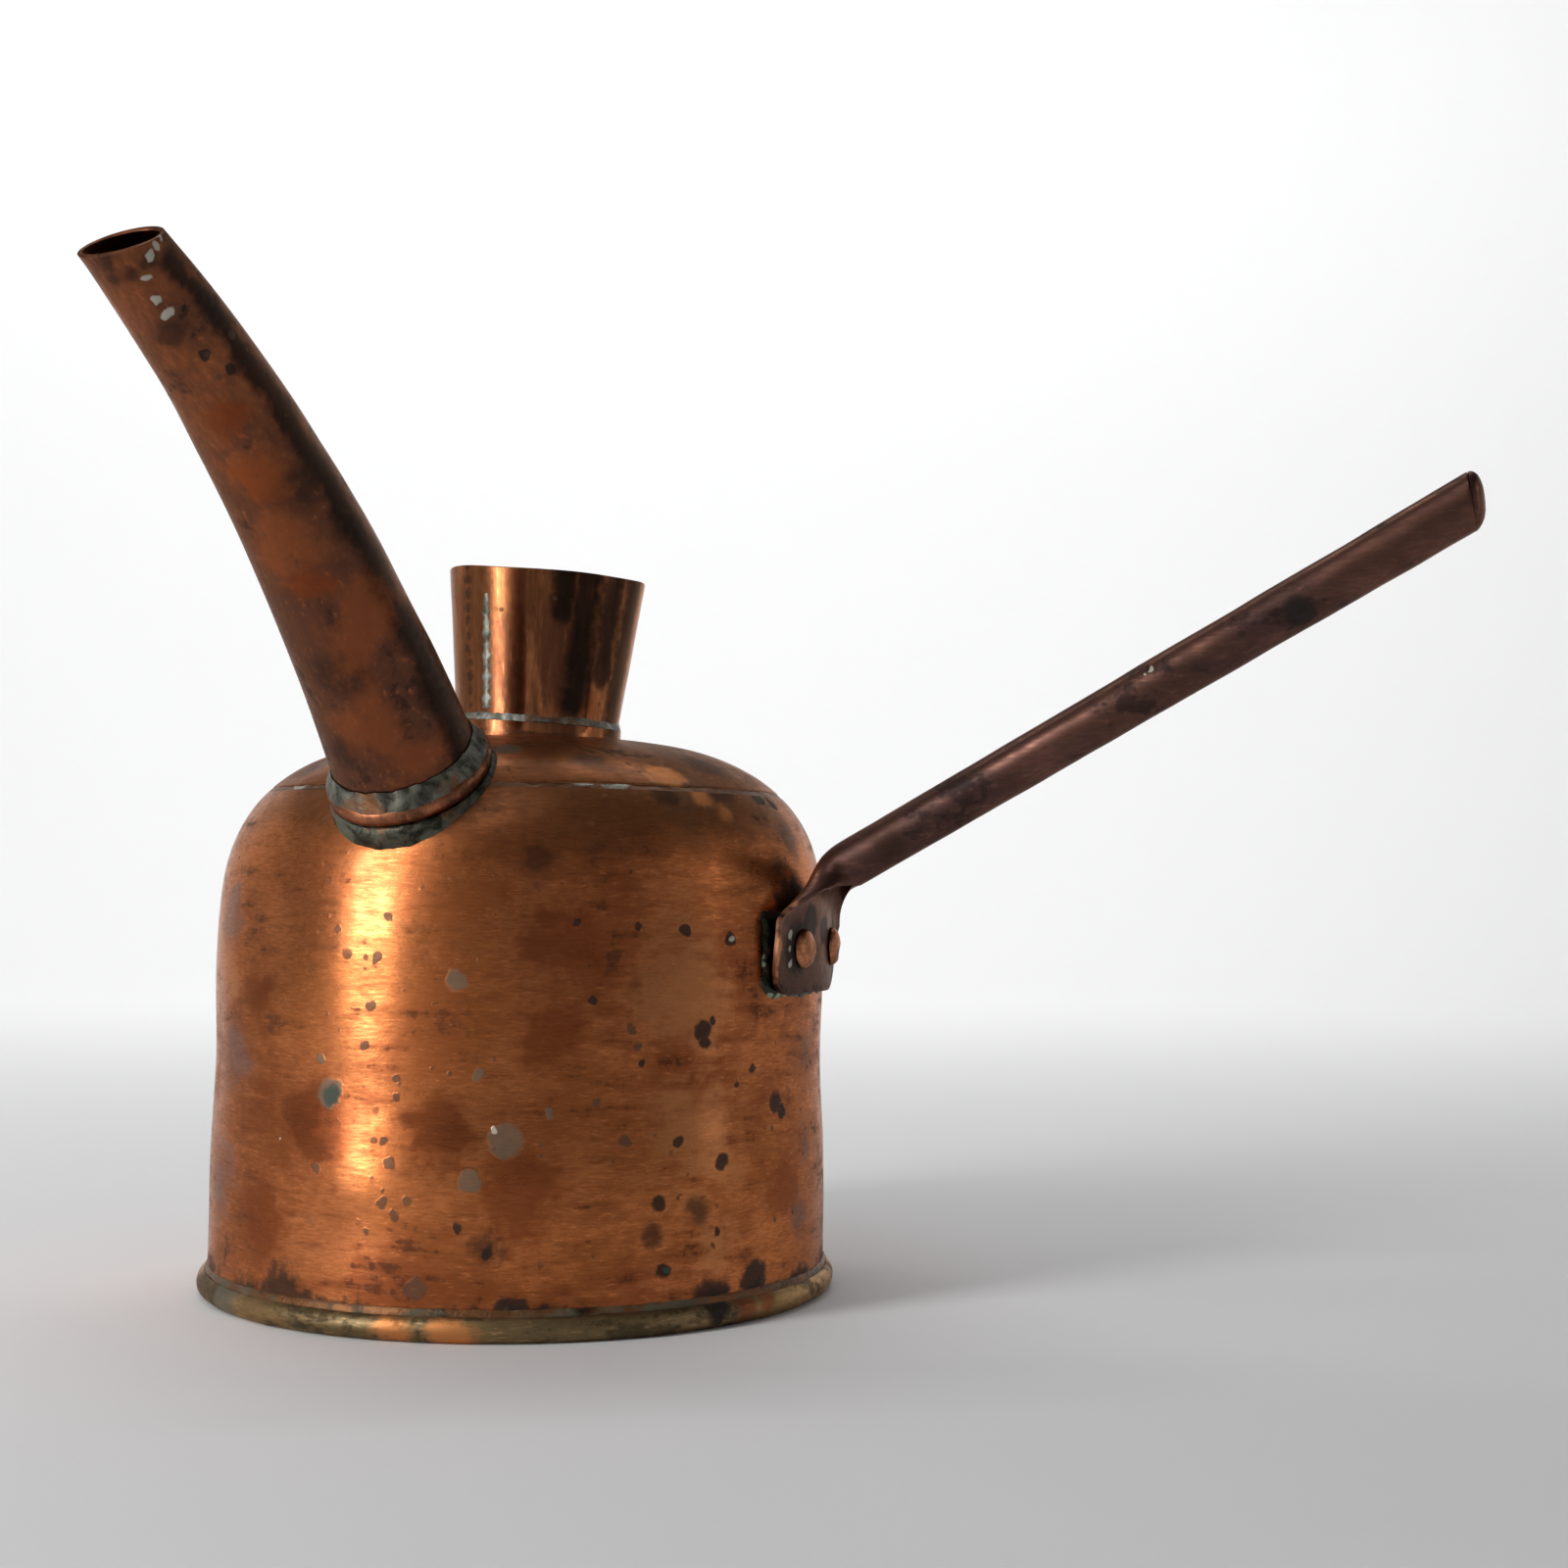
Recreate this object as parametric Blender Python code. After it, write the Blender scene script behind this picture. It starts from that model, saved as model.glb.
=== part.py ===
"""Antique copper watering can, made as separate sheet-metal pieces.

Frame: the origin is the centre of the underside, +Z is up, the spout leans
towards -Y and the handle towards +X. Every size is in metres.
"""
import math

import bmesh
import bpy
from mathutils import Matrix, Vector

# Sheet metal and fits
GAP = 0.0003                    # clearance between neighbouring pieces
SHEET = 0.0012                  # copper sheet of body, crown, bottom and spout
BODY_FACETS = 48                # facets round the body
TUBE_FACETS = 32                # facets round the spout and the filler

# Body wall, shoulder and crown
BODY_RADIUS = 0.0996            # outside of the upright wall
FOOT_FLARE = 0.0014             # how much wider the foot is than the wall
FOOT_FLARE_LOW = 0.040          # the flare is full below this height
FOOT_FLARE_HIGH = 0.075         # and gone above this height
SHOULDER_BASE = 0.1125          # height at which the wall starts to turn in
SHOULDER_RISE = 0.0688          # from there to the top of the crown
SHOULDER_POWER = 2.96           # exponent of the shoulder's superellipse
SHOULDER_STEP = math.radians(6)  # parameter step between profile points
SEAM_INSET = 0.0156             # from the wall in to the edge of the crown
SEAM_GROOVE = 0.0018            # solder groove round the crown's edge
LAP_WIDTH = 0.0080              # how far the crown laps over the wall

# Bottom plate with its edge rolled up round a wire
BEAD_INSET = 0.0006             # of the bead's centre, from the outside of the foot
BEAD_RADIUS = 0.0040            # outside of the rolled bead
BEAD_LIP_ANGLE = math.radians(65)
BEAD_STEPS = 6
WIRE_FACETS = 6                 # the wire fills the room inside the bead
BASE_SOLDER_WIDTH = 0.0006
BASE_SOLDER_FOOT = 0.0070
BASE_SOLDER_TOP = 0.0094

# Spout: a bent, tapering tube in the plane x = 0
SPOUT_ROOT_INSET = 0.0192       # from the wall in to the centre of the root
SPOUT_ROOT_SINK = 0.0017        # of that centre, below the shoulder's surface
SPOUT_BEND_REACH = Vector((0.0, -0.0687, 0.0822))
SPOUT_TIP_REACH = Vector((0.0, -0.1491, 0.1213))
SPOUT_ROOT_RADIUS = 0.0223
SPOUT_TIP_RADIUS = 0.0100
SPOUT_STATIONS = 11
SPOUT_INSIDE = 0.034            # length drawn below the root before trimming
SPOUT_STANDS_IN = 0.0040        # how far the trimmed end stands in the body
MOUTH_TILT = math.radians(30)   # mouth plane, from square towards level
SPOUT_COLLAR_DEPTH = 0.0029     # how far the collar stands out
SPOUT_COLLAR_EDGE = 0.45        # share of that depth at its two edges
SPOUT_COLLAR_WIDTH = 0.0055
SPOUT_FILLET_HEIGHT = 0.0032
SPOUT_FILLET_WIDTH = 0.0016
SPOUT_SADDLE_OVERHANG = 0.0007  # of the root solder, past the collar
SPOUT_SADDLE_DEPTH = 0.0120
SPOUT_SEAM_HALF_WIDTH = 0.0015
SPOUT_SEAM_HEIGHT = 0.0006

# Filler: a cone that leans a little towards the handle
FILLER_OFFSET = 0.0032          # from the body's axis, towards the handle
FILLER_LEAN = math.radians(3.6)
FILLER_SHEET = 0.0010
FILLER_ROOT_RADIUS = 0.0266     # outside of the cone where it meets the crown
FILLER_RIM_RADIUS = 0.0328
FILLER_HEIGHT = 0.0538          # from the crown's top to the rim
FILLER_STANDS_IN = 0.0035       # how far the cone reaches below the crown's top
FILLER_COLLAR_SHEET = 0.0010
FILLER_COLLAR_HEIGHT = 0.0042
FILLER_SOLDER_HEIGHT = 0.0030
FILLER_SEAM_ANGLE = math.radians(-102)  # about the filler's axis, from +X
FILLER_SEAM_HALF_ANGLE = math.radians(3.2)
FILLER_SEAM_TOP_SHARE = 0.4     # share of the seam's width that is flat on top
FILLER_SEAM_HEIGHT = 0.0005
FILLER_HOLE_DEPTH = 0.0300      # how far the hole's cutter reaches down
FILLER_HOLE_RISE = 0.0150       # and up

# Handle: one tube, opened out at the wall into a riveted palm
HANDLE_SHEET = 0.0016
HANDLE_FOOT_RISE = 0.0283       # of the back line where it meets the wall, above the rivets
HANDLE_BACK_LENGTH = 0.2280
HANDLE_SLOPE = math.radians(29.6)
HANDLE_END_RADIUS = 0.00825
HANDLE_NECK_RADIUS = 0.0077
HANDLE_FACETS = 20
HANDLE_RUN_STATIONS = 5
HANDLE_END_TILT = math.radians(21)
HANDLE_CAP_BULGE = 0.0038
HANDLE_CAP_PLUG = 0.0040
HANDLE_CAP_DOME = ((0.99, 0.0), (0.92, 0.35), (0.70, 0.75), (0.36, 0.95))
PALM_HALF_WIDTH = 0.0305
PALM_DROP = 0.0140              # from the rivets down to the palm's edge
PALM_FLAT_RISE = 0.0025         # up to here the palm lies flat on the wall
PALM_BEND_LENGTH = 0.0100       # straight run that the bend takes up
PALM_BEND_DROP = 0.0120         # and how far down the wall it reaches
PALM_FRONT_CORNER = 0.0075       # corner radius on the spout's side
PALM_REAR_CORNER = 0.0165
PALM_OPEN_SHARE = 0.2           # share of the ring that is slit and opened
PALM_OPENING_POWER = 2.35
PALM_STATIONS = 9
PALM_BEND_STATIONS = 5

# Solder under the palm, rivets and roves
PAD_THICKNESS = 0.0016
PAD_MARGIN = 0.0014
PAD_RISE = 0.0145               # from the rivets up to the solder's edge
PAD_COLUMNS = 16
RIVET_HEIGHT = 0.1125
RIVET_FRONT_TURN = math.radians(-7)   # about the body's axis, from the handle's plane
RIVET_REAR_TURN = math.radians(11)
RIVET_SHANK_RADIUS = 0.0030
RIVET_HEAD_RADIUS = 0.0060
RIVET_HEAD_HEIGHT = 0.0032
RIVET_TAIL_RADIUS = 0.0046
RIVET_TAIL_HEIGHT = 0.0016
RIVET_HEAD_DOME = ((0.0, 1.0), (0.55, 0.92), (0.88, 0.62), (1.0, 0.25), (1.0, 0.0))
RIVET_TAIL_FACE = 0.7           # share of the tail that is peened flat
RIVET_FACETS = 20
ROVE_RADIUS = 0.0068
ROVE_THICKNESS = 0.0015
ROVE_STAND_OFF = 0.0006         # clears the curve of the wall's inside

# Sizes that follow from the ones above
WALL_FOOT = SHEET + GAP
LAP_INSET = SHEET + GAP
CROWN_TOP = SHOULDER_BASE + SHOULDER_RISE
SHOULDER_SHARE = 2.0 / SHOULDER_POWER
FOOT_RADIUS = BODY_RADIUS + FOOT_FLARE
BEAD_CENTRE_RADIUS = FOOT_RADIUS - BEAD_INSET
SEAM_RADIUS = BODY_RADIUS - SEAM_INSET
SPOUT_ROOT_REACH = BODY_RADIUS - SPOUT_ROOT_INSET
SPOUT_ROOT_RISE = SHOULDER_RISE * (1.0 - (SPOUT_ROOT_REACH / BODY_RADIUS) ** SHOULDER_POWER) ** (1.0 / SHOULDER_POWER)
SPOUT_ROOT = Vector((0.0, -SPOUT_ROOT_REACH, SHOULDER_BASE + SPOUT_ROOT_RISE - SPOUT_ROOT_SINK))
SPOUT_BEND = SPOUT_ROOT + SPOUT_BEND_REACH
SPOUT_TIP = SPOUT_ROOT + SPOUT_TIP_REACH
FILLER_TAPER = (FILLER_RIM_RADIUS - FILLER_ROOT_RADIUS) / FILLER_HEIGHT
PAD_INNER = BODY_RADIUS + GAP
PAD_OUTER = PAD_INNER + PAD_THICKNESS
PALM_INNER = PAD_OUTER + GAP
PALM_OUTER = PALM_INNER + HANDLE_SHEET
PALM_MIDDLE = (PALM_INNER + PALM_OUTER) / 2
PALM_BOTTOM = RIVET_HEIGHT - PALM_DROP
PALM_FLAT_TOP = RIVET_HEIGHT + PALM_FLAT_RISE
PAD_TOP = RIVET_HEIGHT + PAD_RISE
HANDLE_FOOT = Vector((PALM_MIDDLE, 0.0, RIVET_HEIGHT + HANDLE_FOOT_RISE))
HANDLE_CAP_SEAT = GAP + HANDLE_SHEET / 2 * math.tan(HANDLE_END_TILT)


# Materials

def finish(name, colour, roughness, metallic):
    """Return a Principled material of one colour."""
    material = bpy.data.materials.new(name)
    material.use_nodes = True
    shader = material.node_tree.nodes["Principled BSDF"]
    shader.inputs["Base Color"].default_value = (*colour, 1.0)
    shader.inputs["Roughness"].default_value = roughness
    shader.inputs["Metallic"].default_value = metallic
    material.diffuse_color = (*colour, 1.0)
    return material


def warm_copper(name):
    """Polished and worn copper of the body."""
    return finish(name, (0.55, 0.22, 0.09), 0.35, 1.0)


def brown_copper(name):
    """Darker, handled copper of the spout and the handle."""
    return finish(name, (0.30, 0.13, 0.08), 0.45, 1.0)


def grey_solder(name):
    """Dull tin solder."""
    return finish(name, (0.32, 0.32, 0.27), 0.6, 0.8)


def green_solder(name):
    """Solder with a skin of verdigris."""
    return finish(name, (0.30, 0.38, 0.30), 0.8, 0.3)


def dark_iron(name):
    """Iron wire inside the bead."""
    return finish(name, (0.12, 0.10, 0.09), 0.7, 0.9)


# Mesh helpers

def put_in_scene(name, mesh, material, parent=None):
    """Shade a mesh smooth, give it its material and link it as an object."""
    mesh.shade_smooth()
    mesh.set_sharp_from_angle(angle=math.radians(35))
    mesh.materials.append(material)
    thing = bpy.data.objects.new(name, mesh)
    thing.parent = parent
    bpy.context.collection.objects.link(thing)
    return thing


def mesh_from(name, build):
    """Make a mesh from a function that fills a bmesh, faces pointing out."""
    work = bmesh.new()
    build(work)
    bmesh.ops.remove_doubles(work, verts=work.verts, dist=1e-7)
    bmesh.ops.recalc_face_normals(work, faces=work.faces)
    mesh = bpy.data.meshes.new(name)
    work.to_mesh(mesh)
    work.free()
    return mesh


def turned_mesh(name, outline, facets):
    """Spin an outline of (radius, height) about Z.

    The outline closes on itself, unless both its ends are on the axis.
    """
    def build(work):
        corners = [work.verts.new((radius, 0.0, height)) for radius, height in outline]
        edges = [work.edges.new(pair) for pair in zip(corners, corners[1:])]
        if outline[0][0] > 0.0:
            edges.append(work.edges.new((corners[-1], corners[0])))
        bmesh.ops.spin(work, geom=corners + edges, cent=(0.0, 0.0, 0.0), axis=(0.0, 0.0, 1.0),
                       angle=math.tau, steps=facets, use_merge=True)
    return mesh_from(name, build)


def turned(name, outline, material, facets=BODY_FACETS, parent=None):
    """Add a turned piece to the scene."""
    return put_in_scene(name, turned_mesh(name, outline, facets), material, parent)


def lofted_mesh(name, rings, closed):
    """Skin a row of rings, each a list of points in the same order.

    A closed row joins its last ring to its first, which makes a pipe with a
    real bore. An open row is capped at both ends.
    """
    def build(work):
        loops = [[work.verts.new(point) for point in ring] for ring in rings]
        count = len(rings[0])
        row = loops + loops[:1] if closed else loops
        for near, far in zip(row, row[1:]):
            for side in range(count):
                after = (side + 1) % count
                work.faces.new((near[side], near[after], far[after], far[side]))
        if not closed:
            work.faces.new(loops[0])
            work.faces.new(loops[-1])
    return mesh_from(name, build)


def sheet_mesh(name, rows, thickness, opened_from, opened_share):
    """Thicken a tube-shaped grid of points into sheet, slit from one row on.

    Each row runs once round the tube, starting on the slit side. From row
    opened_from on, the given share of each row is left out, half of it at
    either end of the row.
    """
    count = len(rows[0])
    missing = round(count * opened_share / 2)
    cells = []
    for line in range(len(rows) - 1):
        for side in range(count):
            if line < opened_from or missing <= side < count - missing:
                cells.append((line, side))

    def build(work):
        grid = [[work.verts.new(point) for point in row] for row in rows]
        for line, side in cells:
            after = (side + 1) % count
            work.faces.new((grid[line][side], grid[line][after],
                            grid[line + 1][after], grid[line + 1][side]))
        loose = [vert for vert in work.verts if not vert.link_faces]
        bmesh.ops.delete(work, geom=loose, context="VERTS")
        bmesh.ops.recalc_face_normals(work, faces=work.faces)
        work.normal_update()
        middle = list(work.faces)
        inner = {}
        for vert in list(work.verts):
            inner[vert] = work.verts.new(vert.co - vert.normal * thickness / 2)
        for vert in inner:
            vert.co += vert.normal * thickness / 2
        edges = [edge for edge in work.edges if edge.is_boundary]
        for edge in edges:
            start, end = edge.verts
            work.faces.new((start, end, inner[end], inner[start]))
        for face in middle:
            work.faces.new([inner[vert] for vert in reversed(face.verts)])
    return mesh_from(name, build)


def cutter(name, mesh, parent=None):
    """Add a cutting body that is not part of the can."""
    thing = bpy.data.objects.new(name, mesh)
    thing.parent = parent
    thing.display_type = "WIRE"
    thing.hide_render = True
    bpy.context.collection.objects.link(thing)
    return thing


def cut(thing, *cutters):
    """Take cutting bodies away from a piece."""
    for body in cutters:
        step = thing.modifiers.new("cut " + body.name, "BOOLEAN")
        step.operation = "DIFFERENCE"
        step.object = body


def placed_empty(name, location, axis):
    """Add an empty whose Z runs along the axis and whose X stays level."""
    up = Vector(axis).normalized()
    level = Vector((0.0, 0.0, 1.0)).cross(up)
    side = level.normalized() if level.length > 1e-6 else Vector((1.0, 0.0, 0.0))
    turn = Matrix((side, up.cross(side), up)).transposed()
    thing = bpy.data.objects.new(name, None)
    thing.location = location
    thing.rotation_euler = turn.to_euler()
    bpy.context.collection.objects.link(thing)
    return thing


# Body

def shoulder_point(parameter, inset=0.0):
    """Return (radius, height) on the shoulder, from 0 at the wall to a quarter turn."""
    radius = (BODY_RADIUS - inset) * max(math.cos(parameter), 0.0) ** SHOULDER_SHARE
    rise = (SHOULDER_RISE - inset) * math.sin(parameter) ** SHOULDER_SHARE
    return radius, SHOULDER_BASE + rise


def shoulder_parameter(radius):
    """Return the shoulder parameter at which the outside has this radius."""
    return math.acos((radius / BODY_RADIUS) ** (1.0 / SHOULDER_SHARE))


def shoulder_arc(start, end, inset=0.0):
    """Return evenly stepped shoulder points between two parameters."""
    steps = max(1, round(abs(end - start) / SHOULDER_STEP))
    return [shoulder_point(start + (end - start) * step / steps, inset) for step in range(steps + 1)]


def wall_side(inset):
    """Return the upright wall's points, from its foot to the shoulder."""
    return [
        (FOOT_RADIUS - inset, WALL_FOOT),
        (FOOT_RADIUS - inset, FOOT_FLARE_LOW),
        (BODY_RADIUS - inset, FOOT_FLARE_HIGH),
    ]


def make_body_wall():
    """Wall and shoulder, stepped in where the crown laps over it."""
    joggle = shoulder_parameter(SEAM_RADIUS + SEAM_GROOVE)
    inner_joggle = shoulder_parameter(SEAM_RADIUS + SEAM_GROOVE + SHEET)
    lap_end = shoulder_parameter(SEAM_RADIUS - LAP_WIDTH)
    outside = wall_side(0.0) + shoulder_arc(0.0, joggle)
    outside += shoulder_arc(joggle, lap_end, LAP_INSET)
    inside = shoulder_arc(lap_end, joggle, LAP_INSET + SHEET)
    inside += shoulder_arc(inner_joggle, 0.0, SHEET)
    inside += reversed(wall_side(SHEET))
    return turned("body_wall", outside + inside, warm_copper("wall copper"))


def make_crown():
    """Domed top, lapped over the shoulder."""
    edge = shoulder_parameter(SEAM_RADIUS)
    top = math.pi / 2
    outline = list(reversed(shoulder_arc(edge, top)))
    outline += shoulder_arc(edge, top, SHEET)
    outline[0] = (0.0, outline[0][1])
    outline[-1] = (0.0, outline[-1][1])
    return turned("crown", outline, warm_copper("crown copper"))


def make_crown_solder():
    """Solder that fills the groove round the crown's edge."""
    inner = shoulder_parameter(SEAM_RADIUS + GAP)
    outer = shoulder_parameter(SEAM_RADIUS + SEAM_GROOVE - GAP)
    outline = [shoulder_point(inner), shoulder_point(outer)]
    outline += [shoulder_point(outer, SHEET), shoulder_point(inner, SHEET)]
    return turned("crown_solder", outline, grey_solder("crown seam solder"))


def bead_arc(radius):
    """Return the bead's section from its underside up to its lip."""
    start = -math.pi / 2
    points = []
    for step in range(BEAD_STEPS + 1):
        angle = start + (BEAD_LIP_ANGLE - start) * step / BEAD_STEPS
        points.append((BEAD_CENTRE_RADIUS + radius * math.cos(angle),
                       BEAD_RADIUS + radius * math.sin(angle)))
    return points


def make_bottom_plate():
    """Flat disc whose edge rolls up and over as the foot bead."""
    outline = [(0.0, 0.0)] + bead_arc(BEAD_RADIUS)
    outline += list(reversed(bead_arc(BEAD_RADIUS - SHEET))) + [(0.0, SHEET)]
    return turned("bottom_plate", outline, warm_copper("bottom copper"))


def make_base_wire():
    """Stiffening wire inside the bead."""
    inner = FOOT_RADIUS + GAP
    outer = BEAD_CENTRE_RADIUS + BEAD_RADIUS - SHEET - GAP
    middle = (inner + outer) / 2
    radius = (outer - inner) / 2
    outline = []
    for step in range(WIRE_FACETS):
        angle = math.tau * step / WIRE_FACETS
        outline.append((middle + radius * math.cos(angle), BEAD_RADIUS + radius * math.sin(angle)))
    return turned("base_wire", outline, dark_iron("bead wire"))


def make_base_solder():
    """Thin fillet of solder between the wall and the bead's lip."""
    inner = FOOT_RADIUS + GAP
    waist = (BASE_SOLDER_FOOT + BASE_SOLDER_TOP) / 2
    outline = [(inner, BASE_SOLDER_FOOT), (inner + BASE_SOLDER_WIDTH, waist), (inner, BASE_SOLDER_TOP)]
    return turned("base_solder", outline, green_solder("foot solder"))


def dome_guard(name, grow):
    """Solid of the whole body, grown or shrunk by a clearance."""
    outline = [(0.0, 0.0), (BODY_RADIUS + grow, 0.0)]
    outline += shoulder_arc(0.0, math.pi / 2, -grow)
    outline[-1] = (0.0, outline[-1][1])
    return cutter(name, turned_mesh(name, outline, BODY_FACETS))


# Spout

def spout_point(share):
    """Return the spout's centre; a negative share runs straight into the body."""
    if share < 0.0:
        return SPOUT_ROOT + spout_direction(0.0) * share
    back = 1.0 - share
    return SPOUT_ROOT * back * back + SPOUT_BEND * 2 * back * share + SPOUT_TIP * share * share


def spout_direction(share):
    """Return the unit direction of the spout's centre line."""
    inside = max(share, 0.0)
    slope = (SPOUT_BEND - SPOUT_ROOT) * (1.0 - inside) + (SPOUT_TIP - SPOUT_BEND) * inside
    return slope.normalized()


def spout_radius(share):
    """Return the spout's outside radius."""
    inside = max(share, 0.0)
    return SPOUT_ROOT_RADIUS + (SPOUT_TIP_RADIUS - SPOUT_ROOT_RADIUS) * inside


def spout_ring(share, radius, tilt=0.0):
    """Return one ring of the spout; a tilt slants it back on its upper side."""
    centre = spout_point(share)
    along = spout_direction(share)
    side = Vector((1.0, 0.0, 0.0))
    upper = side.cross(along)
    if upper.z < 0.0:
        upper.negate()
    ring = []
    for step in range(TUBE_FACETS):
        angle = math.tau * step / TUBE_FACETS
        lift = radius * math.sin(angle)
        ring.append(centre + side * radius * math.cos(angle) + upper * lift
                    - along * lift * math.tan(tilt))
    return ring


def spout_shares():
    """Return the stations of the spout outside the body."""
    return [step / SPOUT_STATIONS for step in range(SPOUT_STATIONS + 1)]


def spout_skin(grow):
    """Return the rings of the spout's outside, moved out by a distance."""
    rings = [spout_ring(-SPOUT_INSIDE, SPOUT_ROOT_RADIUS + grow)]
    for share in spout_shares():
        tilt = MOUTH_TILT if share == 1.0 else 0.0
        rings.append(spout_ring(share, spout_radius(share) + grow, tilt))
    return rings


def make_spout_tube(body_core):
    """Tapered tube with an open mouth, trimmed to stand a little inside the body."""
    rings = spout_skin(0.0) + list(reversed(spout_skin(-SHEET)))
    mesh = lofted_mesh("spout_tube", rings, closed=True)
    tube = put_in_scene("spout_tube", mesh, brown_copper("spout copper"))
    cut(tube, body_core)
    return tube


def make_spout_cutter():
    """Body that opens the shoulder and the crown for the spout."""
    return cutter("spout_hole", lofted_mesh("spout_hole", spout_skin(GAP)[:3], closed=False))


def make_spout_collar(root):
    """Half-round ring round the spout's root."""
    inner = SPOUT_ROOT_RADIUS + GAP
    outline = [(inner, 0.0)]
    for step in range(5):
        angle = math.pi * (step / 4 - 0.5)
        bulge = SPOUT_COLLAR_EDGE + (1.0 - SPOUT_COLLAR_EDGE) * math.cos(angle)
        outline.append((inner + SPOUT_COLLAR_DEPTH * bulge, SPOUT_COLLAR_WIDTH * (1.0 + math.sin(angle)) / 2))
    outline.append((inner, SPOUT_COLLAR_WIDTH))
    return turned("spout_collar", outline, warm_copper("spout collar copper"), TUBE_FACETS, root)


def make_spout_upper_solder(root):
    """Fillet of solder between the collar and the spout."""
    inner = SPOUT_ROOT_RADIUS + GAP
    foot = SPOUT_COLLAR_WIDTH + GAP
    outline = [(inner, foot), (inner + SPOUT_FILLET_WIDTH, foot),
               (inner + SPOUT_FILLET_WIDTH / 3, foot + SPOUT_FILLET_HEIGHT / 2), (inner, foot + SPOUT_FILLET_HEIGHT)]
    return turned("spout_upper_solder", outline, grey_solder("spout fillet solder"), TUBE_FACETS, root)


def make_spout_root_solder(root, body_guard):
    """Saddle of solder between the flat collar and the curved body."""
    inner = SPOUT_ROOT_RADIUS + GAP
    collar = inner + SPOUT_COLLAR_DEPTH
    outline = [(inner, -GAP), (collar - GAP, -GAP),
               (collar + SPOUT_SADDLE_OVERHANG, -SPOUT_SADDLE_DEPTH), (inner, -SPOUT_SADDLE_DEPTH)]
    solder = turned("spout_root_solder", outline, green_solder("spout root solder"), TUBE_FACETS, root)
    cut(solder, body_guard)
    return solder


def make_spout_seam_solder():
    """Raised line of solder along the lap on the spout's upper side."""
    foot = SPOUT_COLLAR_WIDTH + GAP + SPOUT_FILLET_HEIGHT + GAP
    length = (SPOUT_TIP - SPOUT_ROOT).length
    start = foot / length
    end = 1.0 - (SPOUT_TIP_RADIUS + SHEET) / length
    rings = []
    for step in range(SPOUT_STATIONS + 1):
        share = start + (end - start) * step / SPOUT_STATIONS
        centre = spout_point(share)
        along = spout_direction(share)
        side = Vector((1.0, 0.0, 0.0))
        upper = side.cross(along)
        if upper.z < 0.0:
            upper.negate()
        inner = spout_radius(share) + GAP
        half_angle = SPOUT_SEAM_HALF_WIDTH / inner
        ring = []
        for radius, angle in ((inner, -half_angle), (inner + SPOUT_SEAM_HEIGHT, 0.0), (inner, half_angle),
                              (inner, 0.0)):
            ring.append(centre + side * radius * math.sin(angle) + upper * radius * math.cos(angle))
        rings.append(ring)
    mesh = lofted_mesh("spout_seam_solder", rings, closed=False)
    return put_in_scene("spout_seam_solder", mesh, grey_solder("spout seam solder"))


# Filler, in a frame whose origin is on the crown's top and whose Z is the filler's axis

def filler_radius(height):
    """Return the cone's outside radius at a height above the crown's top."""
    return FILLER_ROOT_RADIUS + FILLER_TAPER * height


def make_filler_cone(axis):
    """Open cone that water is poured into."""
    foot = -FILLER_STANDS_IN
    outline = [(filler_radius(foot), foot), (FILLER_RIM_RADIUS, FILLER_HEIGHT),
               (FILLER_RIM_RADIUS - FILLER_SHEET, FILLER_HEIGHT), (filler_radius(foot) - FILLER_SHEET, foot)]
    return turned("filler_cone", outline, warm_copper("filler copper"), TUBE_FACETS, axis)


def make_filler_collar(axis, body_guard):
    """Band that joins the cone to the crown."""
    inner = filler_radius(FILLER_COLLAR_HEIGHT) + GAP
    outer = inner + FILLER_COLLAR_SHEET
    outline = [(inner, -FILLER_STANDS_IN), (outer, -FILLER_STANDS_IN),
               (outer, FILLER_COLLAR_HEIGHT), (inner, FILLER_COLLAR_HEIGHT)]
    collar = turned("filler_collar", outline, warm_copper("filler collar copper"), TUBE_FACETS, axis)
    cut(collar, body_guard)
    return collar


def make_filler_solder(axis):
    """Fillet of solder above the filler's collar."""
    foot = FILLER_COLLAR_HEIGHT + GAP
    top = foot + FILLER_SOLDER_HEIGHT
    outer = filler_radius(FILLER_COLLAR_HEIGHT) + GAP + FILLER_COLLAR_SHEET
    outline = [(filler_radius(foot) + GAP, foot), (outer, foot),
               (filler_radius(top) + 2 * GAP, top), (filler_radius(top) + GAP, top)]
    return turned("filler_solder", outline, grey_solder("filler fillet solder"), TUBE_FACETS, axis)


def make_filler_seam_solder(axis):
    """Upright line of solder on the cone's lap."""
    foot = FILLER_COLLAR_HEIGHT + 2 * GAP + FILLER_SOLDER_HEIGHT
    rings = []
    for height in (foot, FILLER_HEIGHT - FILLER_SHEET):
        inner = filler_radius(height) + GAP
        ring = []
        for radius, turn in ((inner, -1.0), (inner + FILLER_SEAM_HEIGHT, -FILLER_SEAM_TOP_SHARE),
                             (inner + FILLER_SEAM_HEIGHT, FILLER_SEAM_TOP_SHARE), (inner, 1.0), (inner, 0.0)):
            angle = FILLER_SEAM_ANGLE + FILLER_SEAM_HALF_ANGLE * turn
            ring.append(Vector((radius * math.cos(angle), radius * math.sin(angle), height)))
        rings.append(ring)
    mesh = lofted_mesh("filler_seam_solder", rings, closed=False)
    return put_in_scene("filler_seam_solder", mesh, grey_solder("filler seam solder"), axis)


def make_filler_cutter(axis):
    """Body that opens the crown under the filler."""
    radius = filler_radius(0.0) + GAP
    outline = [(0.0, -FILLER_HOLE_DEPTH), (radius, -FILLER_HOLE_DEPTH),
               (radius, FILLER_HOLE_RISE), (0.0, FILLER_HOLE_RISE)]
    return cutter("filler_hole", turned_mesh("filler_hole", outline, TUBE_FACETS), axis)


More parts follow.
